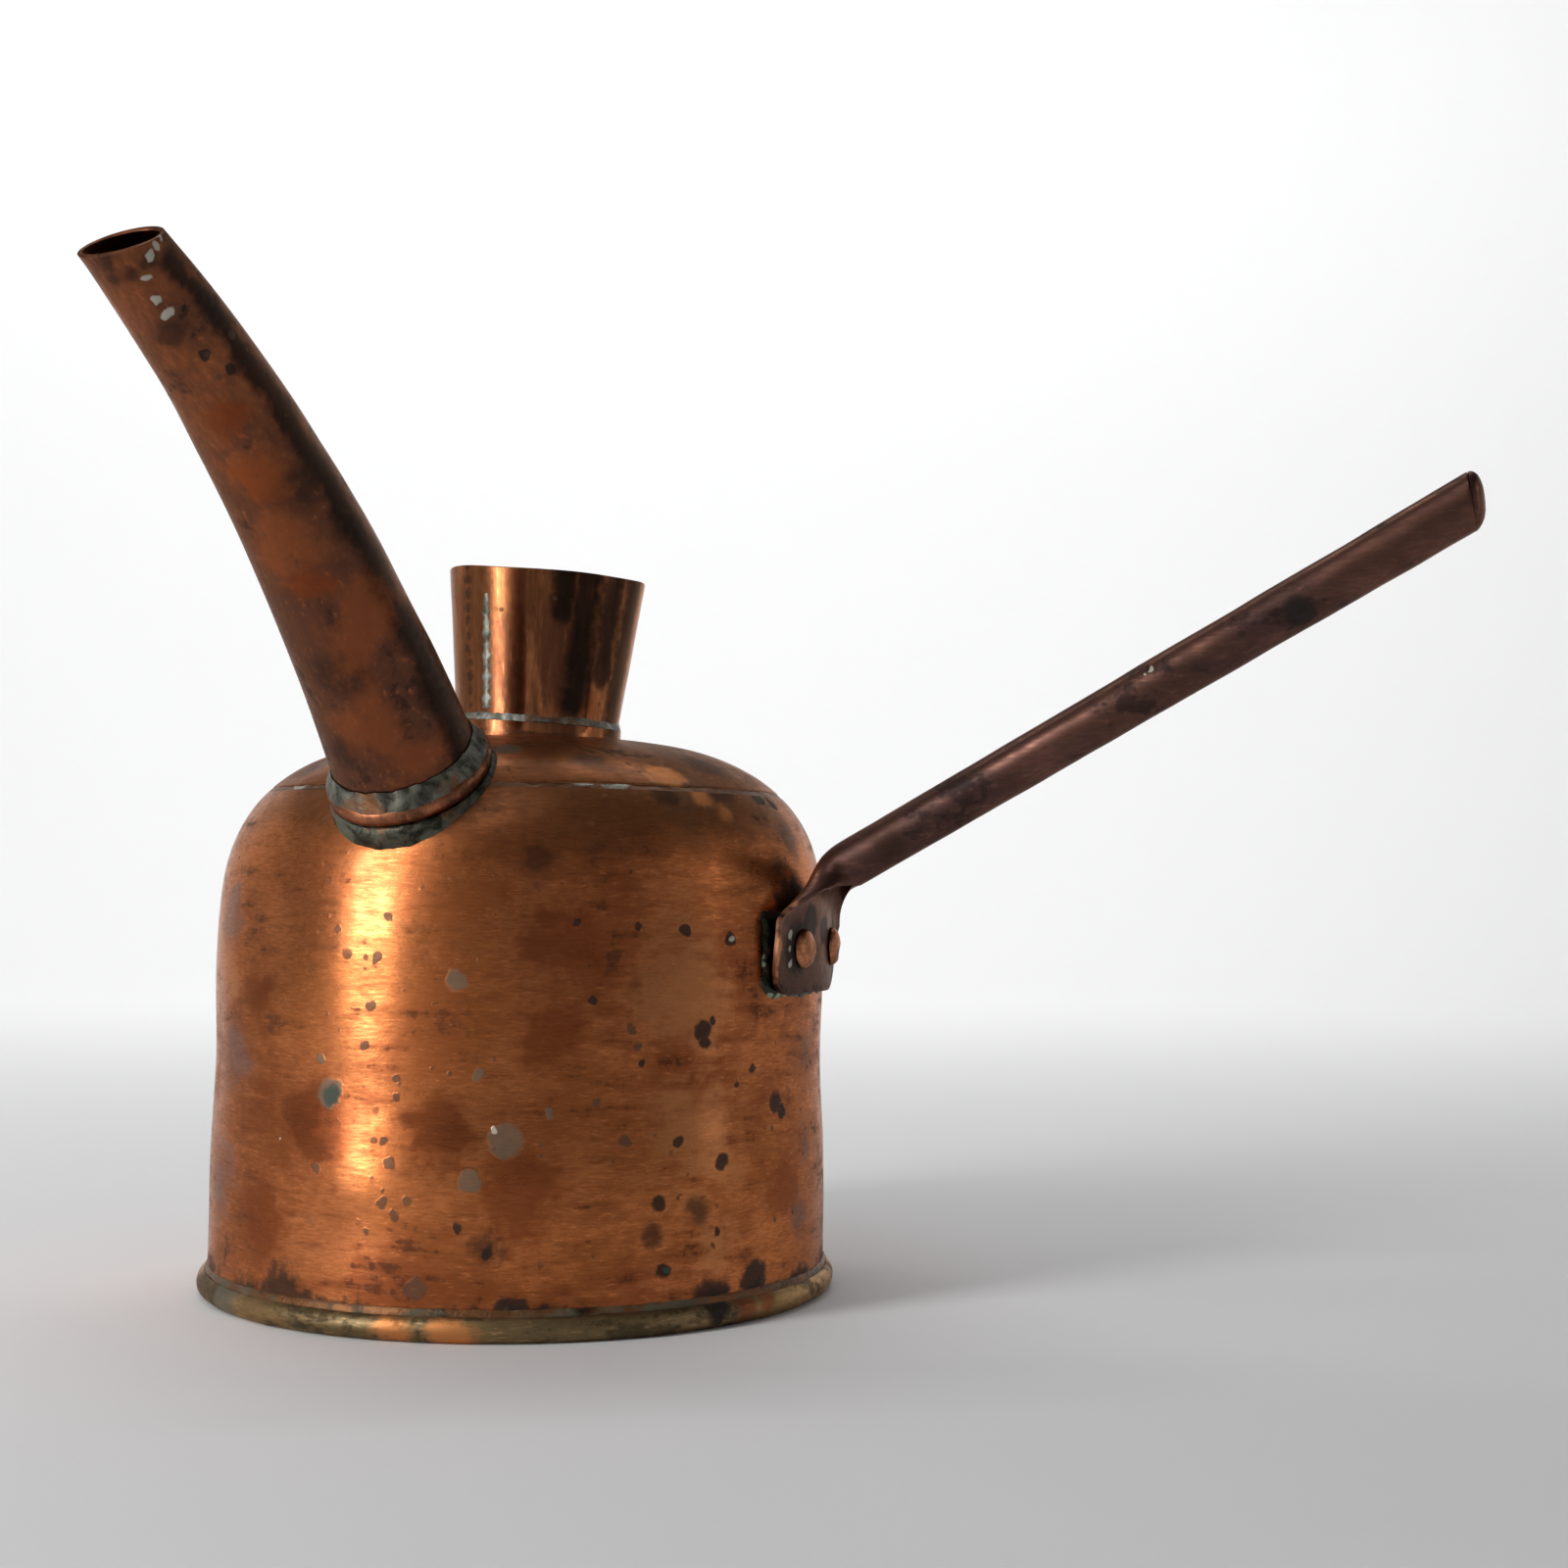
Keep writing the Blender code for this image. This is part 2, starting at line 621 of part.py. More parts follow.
# Handle, drawn along the line of its back, which is the side that meets the wall

def handle_axis():
    """Return the handle's unit direction from the palm to its end."""
    return Vector((math.cos(HANDLE_SLOPE), 0.0, math.sin(HANDLE_SLOPE)))


def handle_back(axis):
    """Return the unit direction from the handle's centre line to its back."""
    return Vector((-axis.z, 0.0, axis.x))


def handle_back_end(axis):
    """Return where the back line of the tube's middle surface ends."""
    return HANDLE_FOOT + axis * HANDLE_BACK_LENGTH


def ring_shares():
    """Return the places round the handle, from the slit round to the slit again."""
    return [2.0 * step / HANDLE_FACETS - 1.0 for step in range(HANDLE_FACETS)]


def tube_row(back_point, along, radius, tilt=0.0):
    """Return one round row of the handle's middle surface."""
    back = handle_back(along)
    centre = back_point - back * radius
    row = []
    for share in ring_shares():
        angle = math.pi * share
        lift = radius * math.cos(angle)
        row.append(centre + back * lift + Vector((0.0, radius * math.sin(angle), 0.0))
                   + along * lift * math.tan(tilt))
    return row


def corner_lift(across, half_width):
    """Return how far a rounded bottom corner lifts the palm's edge.

    across runs from -1 on the spout's side to 1 on the rear side.
    """
    corner = PALM_FRONT_CORNER if across < 0.0 else PALM_REAR_CORNER
    share = corner / half_width
    past = min(1.0, max(0.0, (abs(across) - 1.0 + share) / share))
    return corner * (1.0 - math.sqrt(1.0 - past * past))


def palm_row(height):
    """Return one row of the flat palm, wrapped round the wall."""
    widest = 1.0 - PALM_OPEN_SHARE
    radius = PALM_MIDDLE
    fade = max(0.0, (PALM_FLAT_TOP - height) / (PALM_FLAT_TOP - PALM_BOTTOM))
    row = []
    for share in ring_shares():
        across = share / widest
        turn = across * PALM_HALF_WIDTH / radius
        lift = corner_lift(across, PALM_HALF_WIDTH) * fade
        row.append(Vector((radius * math.cos(turn), radius * math.sin(turn), height + lift)))
    return row


def make_handle_tube(rivet_holes):
    """Handle tube whose lower end is slit, spread and flattened into the palm."""
    along = handle_axis()
    neck_radius = HANDLE_NECK_RADIUS - HANDLE_SHEET / 2
    end_radius = HANDLE_END_RADIUS - HANDLE_SHEET / 2
    end = handle_back_end(along)
    bend_start = HANDLE_FOOT + along * PALM_BEND_LENGTH
    bend_end = HANDLE_FOOT - Vector((0.0, 0.0, PALM_BEND_DROP))

    rows = []
    for step in range(HANDLE_RUN_STATIONS):
        share = step / HANDLE_RUN_STATIONS
        radius = end_radius + (neck_radius - end_radius) * share
        tilt = HANDLE_END_TILT if step == 0 else 0.0
        rows.append(tube_row(end + (bend_start - end) * share, along, radius, tilt))

    track = []
    for step in range(PALM_BEND_STATIONS + 1):
        share = step / PALM_BEND_STATIONS
        back = 1.0 - share
        point = bend_start * back * back + HANDLE_FOOT * 2 * back * share + bend_end * share * share
        heading = (bend_start - HANDLE_FOOT) * back + (HANDLE_FOOT - bend_end) * share
        track.append((point, heading.normalized()))
    upright = Vector((0.0, 0.0, 1.0))
    for step in range(1, PALM_STATIONS + 1):
        height = bend_end.z + (PALM_BOTTOM - bend_end.z) * step / PALM_STATIONS
        track.append((Vector((PALM_MIDDLE, 0.0, height)), upright))

    opened_at = PALM_BEND_STATIONS // 2
    opened_height = track[opened_at][0].z
    for place, (point, heading) in enumerate(track):
        round_row = tube_row(point, heading, neck_radius)
        if place <= opened_at:
            rows.append(round_row)
            continue
        progress = min(1.0, (opened_height - point.z) / (opened_height - PALM_FLAT_TOP))
        spread = 1.0 - (1.0 - progress) ** PALM_OPENING_POWER
        flat_row = palm_row(point.z)
        rows.append([early.lerp(late, spread) for early, late in zip(round_row, flat_row)])

    opened_from = HANDLE_RUN_STATIONS + opened_at
    mesh = sheet_mesh("handle_tube", rows, HANDLE_SHEET, opened_from, PALM_OPEN_SHARE)
    tube = put_in_scene("handle_tube", mesh, brown_copper("handle copper"))
    cut(tube, *rivet_holes)
    return tube


def make_handle_end_cap():
    """Domed stopper that closes the tube's slanted end."""
    along = handle_axis()
    back = handle_back(along)
    centre = handle_back_end(along) - back * (HANDLE_END_RADIUS - HANDLE_SHEET / 2)
    rings = []
    plug = HANDLE_END_RADIUS - HANDLE_SHEET - GAP
    stages = [(plug, -HANDLE_CAP_PLUG), (plug, HANDLE_CAP_SEAT)]
    for share, rise in HANDLE_CAP_DOME:
        stages.append((HANDLE_END_RADIUS * share, HANDLE_CAP_SEAT + HANDLE_CAP_BULGE * rise))
    for radius, forward in stages:
        ring = []
        for step in range(HANDLE_FACETS):
            angle = math.tau * step / HANDLE_FACETS
            lift = radius * math.cos(angle)
            ring.append(centre + back * lift + Vector((0.0, radius * math.sin(angle), 0.0))
                        + along * (forward + lift * math.tan(HANDLE_END_TILT)))
        rings.append(ring)
    mesh = lofted_mesh("handle_end_cap", rings, closed=False)
    return put_in_scene("handle_end_cap", mesh, brown_copper("handle cap copper"))


def make_palm_solder(rivet_holes):
    """Thin bed of solder between the palm and the wall."""
    half = PALM_HALF_WIDTH + PAD_MARGIN
    bottom = PALM_BOTTOM - PAD_MARGIN
    rings = []
    for column in range(PAD_COLUMNS + 1):
        across = 2.0 * column / PAD_COLUMNS - 1.0
        turn = across * half / PALM_INNER
        low = bottom + corner_lift(across, half)
        ring = []
        for radius, height in ((PAD_INNER, low), (PAD_OUTER, low), (PAD_OUTER, PAD_TOP), (PAD_INNER, PAD_TOP)):
            ring.append(Vector((radius * math.cos(turn), radius * math.sin(turn), height)))
        rings.append(ring)
    mesh = lofted_mesh("palm_solder", rings, closed=False)
    pad = put_in_scene("palm_solder", mesh, green_solder("palm bed solder"))
    cut(pad, *rivet_holes)
    return pad


def make_rivet_hole(name, axis):
    """Body that drills the palm, the solder and the wall for one rivet."""
    radius = RIVET_SHANK_RADIUS + GAP
    low = BODY_RADIUS - RIVET_HEAD_RADIUS
    high = PALM_OUTER + RIVET_HEAD_RADIUS
    outline = [(0.0, low), (radius, low), (radius, high), (0.0, high)]
    return cutter(name, turned_mesh(name, outline, RIVET_FACETS), axis)


def make_rivet(name, axis):
    """Rivet with a low domed head outside and a peened tail inside."""
    seat = PALM_OUTER + GAP
    rove_face = BODY_RADIUS - SHEET - GAP - ROVE_STAND_OFF - ROVE_THICKNESS - GAP
    tail = rove_face - RIVET_TAIL_HEIGHT
    outline = [(RIVET_HEAD_RADIUS * share, seat + RIVET_HEAD_HEIGHT * rise) for share, rise in RIVET_HEAD_DOME]
    outline += [(RIVET_SHANK_RADIUS, seat), (RIVET_SHANK_RADIUS, rove_face), (RIVET_TAIL_RADIUS, rove_face),
                (RIVET_TAIL_FACE * RIVET_TAIL_RADIUS, tail), (0.0, tail)]
    return turned(name, outline, brown_copper(name + " copper"), RIVET_FACETS, axis)


def make_rove(name, axis):
    """Washer under the rivet's tail."""
    outer_face = BODY_RADIUS - SHEET - GAP - ROVE_STAND_OFF
    inner_face = outer_face - ROVE_THICKNESS
    bore = RIVET_SHANK_RADIUS + GAP
    outline = [(bore, inner_face), (ROVE_RADIUS, inner_face), (ROVE_RADIUS, outer_face), (bore, outer_face)]
    return turned(name, outline, warm_copper(name + " copper"), RIVET_FACETS, axis)


def clear_scene():
    """Remove whatever objects the scene starts with."""
    for thing in list(bpy.data.objects):
        bpy.data.objects.remove(thing, do_unlink=True)


def main():
    """Build every piece of the can."""
    clear_scene()
    body_guard = dome_guard("body_guard", GAP)
    body_core = dome_guard("body_core", -SHEET - SPOUT_STANDS_IN)

    spout_root = placed_empty("spout_root", SPOUT_ROOT, spout_direction(0.0))
    lean = (math.sin(FILLER_LEAN), 0.0, math.cos(FILLER_LEAN))
    filler_axis = placed_empty("filler_axis", (FILLER_OFFSET, 0.0, CROWN_TOP), lean)
    spout_hole = make_spout_cutter()
    filler_hole = make_filler_cutter(filler_axis)

    rivet_axes = []
    rivet_holes = []
    for label, turn in (("front", RIVET_FRONT_TURN), ("rear", RIVET_REAR_TURN)):
        axis = placed_empty("rivet_axis_" + label, (0.0, 0.0, RIVET_HEIGHT), (math.cos(turn), math.sin(turn), 0.0))
        rivet_axes.append((label, axis))
        rivet_holes.append(make_rivet_hole("rivet_hole_" + label, axis))

    cut(make_body_wall(), spout_hole, *rivet_holes)
    cut(make_crown(), spout_hole, filler_hole)
    cut(make_crown_solder(), spout_hole)
    make_bottom_plate()
    make_base_wire()
    make_base_solder()

    make_spout_tube(body_core)
    make_spout_collar(spout_root)
    make_spout_upper_solder(spout_root)
    make_spout_root_solder(spout_root, body_guard)
    make_spout_seam_solder()

    make_filler_cone(filler_axis)
    make_filler_collar(filler_axis, body_guard)
    make_filler_solder(filler_axis)
    make_filler_seam_solder(filler_axis)

    make_handle_tube(rivet_holes)
    make_handle_end_cap()
    make_palm_solder(rivet_holes)
    for label, axis in rivet_axes:
        make_rivet("rivet_" + label, axis)
        make_rove("rove_" + label, axis)


main()
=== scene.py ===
"""Looks of an antique copper watering can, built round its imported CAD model."""

import logging
import math
import random
from dataclasses import dataclass, field
from enum import Enum
from typing import Callable, Sequence

import bpy
from mathutils import Matrix, Vector


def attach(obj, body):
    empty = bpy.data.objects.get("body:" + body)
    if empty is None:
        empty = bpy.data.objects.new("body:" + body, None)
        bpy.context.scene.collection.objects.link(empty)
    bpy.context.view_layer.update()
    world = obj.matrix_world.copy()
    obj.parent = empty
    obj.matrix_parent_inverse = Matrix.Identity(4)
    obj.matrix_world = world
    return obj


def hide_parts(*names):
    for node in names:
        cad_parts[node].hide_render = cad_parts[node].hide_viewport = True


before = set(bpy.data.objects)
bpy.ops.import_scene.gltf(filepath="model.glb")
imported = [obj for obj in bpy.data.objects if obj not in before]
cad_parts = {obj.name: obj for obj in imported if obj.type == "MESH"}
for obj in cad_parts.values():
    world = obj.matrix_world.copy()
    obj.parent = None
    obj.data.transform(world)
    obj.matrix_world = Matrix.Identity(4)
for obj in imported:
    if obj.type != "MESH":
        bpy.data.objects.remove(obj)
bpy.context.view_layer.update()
LOG = logging.getLogger("watering_can")

BODY = "root"
MILLIMETRE = 0.001
SAME_POINT = 0.004 * MILLIMETRE
Outline = Sequence[tuple[float, float]]
Colour = tuple[float, float, float]


class Slot(Enum):
    """The record's material slots."""

    BODY = "body_copper"
    SPOUT = "spout_copper"
    FILLER = "filler_copper"
    HANDLE = "handle_copper"
    RIVET = "rivet_copper"
    BRIGHT_SOLDER = "bright_solder"
    GREEN_SOLDER = "green_solder"


class Stain(Enum):
    """Kinds of single marks on the metal. The shade kind is painted shade, the mauve kind a painted grazing
    reflection and the edge kind a painted highlight.
    """

    RUBBED = ((0.70, 0.27, 0.085), 0.75, 0.0, 0.7)
    TAN = ((0.50, 0.20, 0.075), 0.6, 0.05, 0.8)
    RED = ((0.22, 0.050, 0.014), 0.75, 0.0, 0.8)
    UMBER = ((0.045, 0.022, 0.014), 0.75, 0.2, 0.8)
    SLATE = ((0.135, 0.120, 0.085), 0.75, 0.7, 0.35)
    BROWN = ((0.105, 0.060, 0.038), 0.78, 0.5, 0.3)
    BLACK = ((0.022, 0.018, 0.016), 0.88, 0.6, 0.35)
    # Painted reflection: the mauve, grazing sheen at the body's edges.
    MAUVE = ((0.150, 0.085, 0.075), 0.7, 0.3, 0.9)
    # Painted highlight: the bright strip on the palm's rolled edge.
    EDGE = ((0.60, 0.27, 0.13), 0.75, 0.0, 0.6)
    # Painted shade: dark reflections laid on the spout and the filler.
    SHADE = ((0.010, 0.007, 0.006), 0.9, 0.0, 0.75, 1.0)
    ORANGE = ((0.36, 0.098, 0.028), 0.5, 0.0, 0.9)
    TEAL = ((0.050, 0.080, 0.062), 0.85, 0.9, 0.4)
    PALE = ((0.52, 0.50, 0.42), 0.9, 0.9, 0.3)

    def __init__(self, tint: Colour, cover: float, dryness: float, softness: float,
                 tearing: float | None = None) -> None:
        """Name the parts of a kind.

        Args:
            tint: its colour.
            cover: how well it hides what is under it.
            dryness: how rough and unlike metal it is.
            softness: the share of the radius over which it fades.
            tearing: how much the noise tears its outline; six times the softness when left out.
        """
        self.tint = tint
        self.cover = cover
        self.dryness = dryness
        self.softness = softness
        self.tearing = 6.0 * softness if tearing is None else tearing


# Shader expressions


class Value:
    """A number that varies over a surface, with the usual arithmetic."""

    def __init__(self, tree: bpy.types.NodeTree, socket: bpy.types.NodeSocket) -> None:
        """Wrap one output socket of a tree."""
        self.tree = tree
        self.socket = socket

    def _math(self, operation: str, *terms: "Value | float") -> "Value":
        """Add a Math node over the terms and return its result."""
        node = self.tree.nodes.new("ShaderNodeMath")
        node.operation = operation
        for socket, term in zip(node.inputs, terms):
            if isinstance(term, Value):
                self.tree.links.new(term.socket, socket)
            else:
                socket.default_value = term
        return Value(self.tree, node.outputs[0])

    def __add__(self, other: "Value | float") -> "Value":
        """Return the sum."""
        return self._math("ADD", self, other)

    __radd__ = __add__

    def __sub__(self, other: "Value | float") -> "Value":
        """Return this less the other."""
        return self._math("SUBTRACT", self, other)

    def __rsub__(self, other: float) -> "Value":
        """Return the other less this."""
        return self._math("SUBTRACT", other, self)

    def __mul__(self, other: "Value | float") -> "Value":
        """Return the product."""
        return self._math("MULTIPLY", self, other)

    __rmul__ = __mul__

    def __truediv__(self, other: "Value | float") -> "Value":
        """Return the quotient."""
        return self._math("DIVIDE", self, other)

    def most(self, other: "Value | float") -> "Value":
        """Return the larger of the two."""
        return self._math("MAXIMUM", self, other)

    def least(self, other: "Value | float") -> "Value":
        """Return the smaller of the two."""
        return self._math("MINIMUM", self, other)

    def between(self, low: float, high: float) -> "Value":
        """Return a smooth step from 0 at low to 1 at high.

        Args:
            low: where the step starts.
            high: where it ends; below low for a step down.

        Returns:
            The step.
        """
        node = self.tree.nodes.new("ShaderNodeMapRange")
        node.interpolation_type = "SMOOTHSTEP"
        self.tree.links.new(self.socket, node.inputs["Value"])
        down = low > high
        node.inputs["From Min"].default_value = min(low, high)
        node.inputs["From Max"].default_value = max(low, high)
        node.inputs["To Min"].default_value = 1.0 if down else 0.0
        node.inputs["To Max"].default_value = 0.0 if down else 1.0
        return Value(self.tree, node.outputs["Result"])


class Coat:
    """The bench on which one finish is mixed."""

    def __init__(self, name: str) -> None:
        """Start a Principled material of that name."""
        self.material = bpy.data.materials.new(name)
        self.material.use_nodes = True
        self.tree = self.material.node_tree
        self.shader = self.tree.nodes["Principled BSDF"]
        self.place = self.node("ShaderNodeTexCoord").outputs["Object"]

    def node(self, kind: str, settings: dict | None = None, sockets: dict | None = None) -> bpy.types.Node:
        """Add a node, set its options and then feed its sockets.

        Args:
            kind: the node's type.
            settings: its attributes, such as an operation.
            sockets: a Value, an output socket or a constant for each input.

        Returns:
            The new node.
        """
        node = self.tree.nodes.new(kind)
        for key, value in (settings or {}).items():
            setattr(node, key, value)
        for key, value in (sockets or {}).items():
            self.feed(node.inputs[key], value)
        return node

    def feed(self, socket: bpy.types.NodeSocket, value: object) -> None:
        """Link a value or an output socket into an input, or set a constant."""
        if isinstance(value, Value):
            self.tree.links.new(value.socket, socket)
        elif isinstance(value, bpy.types.NodeSocket):
            self.tree.links.new(value, socket)
        elif socket.type == "RGBA":
            socket.default_value = (*value, 1.0)
        else:
            socket.default_value = value

    def plain(self, number: float) -> Value:
        """Return a constant as a value."""
        node = self.node("ShaderNodeValue")
        node.outputs["Value"].default_value = number
        return Value(self.tree, node.outputs["Value"])

    def level(self) -> Value:
        """Return the height of a point above the floor, in metres."""
        split = self.node("ShaderNodeSeparateXYZ", sockets={"Vector": self.place})
        return Value(self.tree, split.outputs["Z"])

    def stretched(self, scale: Sequence[float],
                  turn: Sequence[float] = (0.0, 0.0, 0.0)) -> bpy.types.NodeSocket:
        """Return the coordinates turned and scaled.

        Args:
            scale: factor along each axis.
            turn: Euler angles in radians.

        Returns:
            The vector socket.
        """
        mapping = self.node("ShaderNodeMapping", sockets={"Vector": self.place})
        mapping.inputs["Scale"].default_value = scale
        mapping.inputs["Rotation"].default_value = turn
        return mapping.outputs["Vector"]

    def ragged(self, scale: float, amount: float) -> bpy.types.NodeSocket:
        """Return the coordinates shaken by noise, for ragged outlines.

        Args:
            scale: waves to the metre.
            amount: how far a point may be moved, in metres.

        Returns:
            The vector socket.
        """
        cloud = self.node("ShaderNodeTexNoise", sockets={"Vector": self.place, "Scale": scale, "Detail": 3.0})
        centred = self.node("ShaderNodeVectorMath", {"operation": "SUBTRACT"},
                            {0: cloud.outputs["Color"], 1: (0.5, 0.5, 0.5)})
        scaled = self.node("ShaderNodeVectorMath", {"operation": "SCALE"}, {0: centred.outputs[0]})
        scaled.inputs["Scale"].default_value = 2.0 * amount
        moved = self.node("ShaderNodeVectorMath", {"operation": "ADD"}, {0: self.place, 1: scaled.outputs[0]})
        return moved.outputs[0]

    def nearness(self, place: bpy.types.NodeSocket, point: Sequence[float], radius: float) -> Value:
        """Return the distance to a point as a share of a radius."""
        node = self.node("ShaderNodeVectorMath", {"operation": "DISTANCE"}, {0: place, 1: tuple(point)})
        return Value(self.tree, node.outputs["Value"]) / radius

    def noise(self, scale: float, detail: float = 4.0, rough: float = 0.55, warp: float = 0.0,
              at: bpy.types.NodeSocket | None = None) -> Value:
        """Return cloudy noise from 0 to 1.

        Args:
            scale: clouds to the metre.
            detail: octaves of finer noise.
            rough: weight of the finer octaves.
            warp: distortion of the clouds.
            at: where to look it up; the object's coordinates when left out.

        Returns:
            The noise.
        """
        node = self.node("ShaderNodeTexNoise", {"noise_dimensions": "3D"},
                         {"Vector": at or self.place, "Scale": scale, "Detail": detail,
                          "Roughness": rough, "Distortion": warp})
        return Value(self.tree, node.outputs["Fac"])

    def flecks(self, scale: float, size: float, share: float,
               at: bpy.types.NodeSocket | None = None) -> Value:
        """Return round flecks of mixed sizes that only some cells carry.

        Args:
            scale: cells to the metre.
            size: largest radius, as a share of a cell.
            share: share of the cells that carry a fleck.
            at: where to look them up.

        Returns:
            1 inside a fleck and 0 outside.
        """
        node = self.node("ShaderNodeTexVoronoi", {"voronoi_dimensions": "3D", "feature": "F1"},
                         {"Vector": at or self.place, "Scale": scale, "Randomness": 1.0})
        split = self.node("ShaderNodeSeparateColor", sockets={"Color": node.outputs["Color"]})
        chosen = Value(self.tree, split.outputs[0]).between(share + 0.01, share - 0.01)
        width = Value(self.tree, split.outputs[1]) * (0.65 * size) + 0.35 * size
        return (Value(self.tree, node.outputs["Distance"]) / width).between(1.15, 0.75) * chosen

    def mixed(self, share: Value, under: object, over: object) -> bpy.types.NodeSocket:
        """Return one colour laid over another by a share from 0 to 1."""
        node = self.node("ShaderNodeMix", {"data_type": "RGBA", "clamp_factor": True})
        self.feed(node.inputs[0], share)
        self.feed(node.inputs[6], under)
        self.feed(node.inputs[7], over)
        return node.outputs[2]

    def bumped(self, height: Value, depth: float) -> bpy.types.NodeSocket:
        """Return a normal that stands up by height times a depth in metres."""
        return self.node("ShaderNodeBump", sockets={"Strength": 1.0, "Distance": depth,
                                                    "Height": height}).outputs["Normal"]

    def finished(self, colour: object, rough: object, metal: object,
                 normal: bpy.types.NodeSocket | None = None) -> bpy.types.Material:
        """Connect the mixed channels and return the material."""
        self.feed(self.shader.inputs["Base Color"], colour)
        self.feed(self.shader.inputs["Roughness"], rough)
        self.feed(self.shader.inputs["Metallic"], metal)
        if normal is not None:
            self.feed(self.shader.inputs["Normal"], normal)
        return self.material


# Finishes


@dataclass(frozen=True)
class Mark:
    """One stain, by its place in metres and its radius in millimetres."""

    place: Sequence[float]
    radius: float
    kind: Stain = Stain.BLACK


def on_wall(azimuth: float, height: float, radius: float, kind: Stain = Stain.BLACK,
            reach: float = 99.8) -> Mark:
    """Return a mark on the body.

    Args:
        azimuth: degrees from the spout towards the handle.
        height: above the floor, in millimetres.
        radius: of the mark, in millimetres.
        kind: what sort of stain it is.
        reach: distance from the body's axis, in millimetres.

    Returns:
        The mark.
    """
    turn = math.radians(azimuth)
    out = reach * MILLIMETRE
    return Mark((out * math.sin(turn), -out * math.cos(turn), height * MILLIMETRE), radius, kind)


def scattered(spots: dict[Stain, Sequence[Sequence[float]]]) -> tuple[Mark, ...]:
    """Return marks on the body.

    Args:
        spots: for each kind the azimuth in degrees and the height and radius in millimetres, and
            the distance from the body's axis where that isn't the wall's.

    Returns:
        The marks.
    """
    return tuple(on_wall(spot[0], spot[1], spot[2], kind, *spot[3:]) for kind, places in spots.items()
                 for spot in places)


@dataclass
class Layers:
    """One finish while its layers are laid over each other."""

    coat: Coat
    colour: Colour | bpy.types.NodeSocket
    rough: Value
    metal: Value
    height: Value

    def lay(self, mask: Value, tint: Colour, cover: float, rough: float = 0.0, metal: float = 0.0,
            height: float = 0.0) -> None:
        """Lay a colour where a mask says, and change the surface with it.

        Args:
            mask: where the layer lies, from 0 to 1.
            tint: its colour.
            cover: how well it hides what is under it.
            rough: what it adds to the roughness.
            metal: what it adds to the metalness.
            height: what it adds to the height of the bump.
        """
        self.colour = self.coat.mixed(mask * cover, self.colour, tint)
        if rough:
            self.rough = self.rough + mask * rough
        if metal:
            self.metal = self.metal + mask * metal
        if height:
            self.height = self.height + mask * height


@dataclass(frozen=True)
class Grain:
    """The noises that a copper finish is mixed from."""

    wide: Value
    middle: Value
    fine: Value
    wipes: Value
    hairs: Value


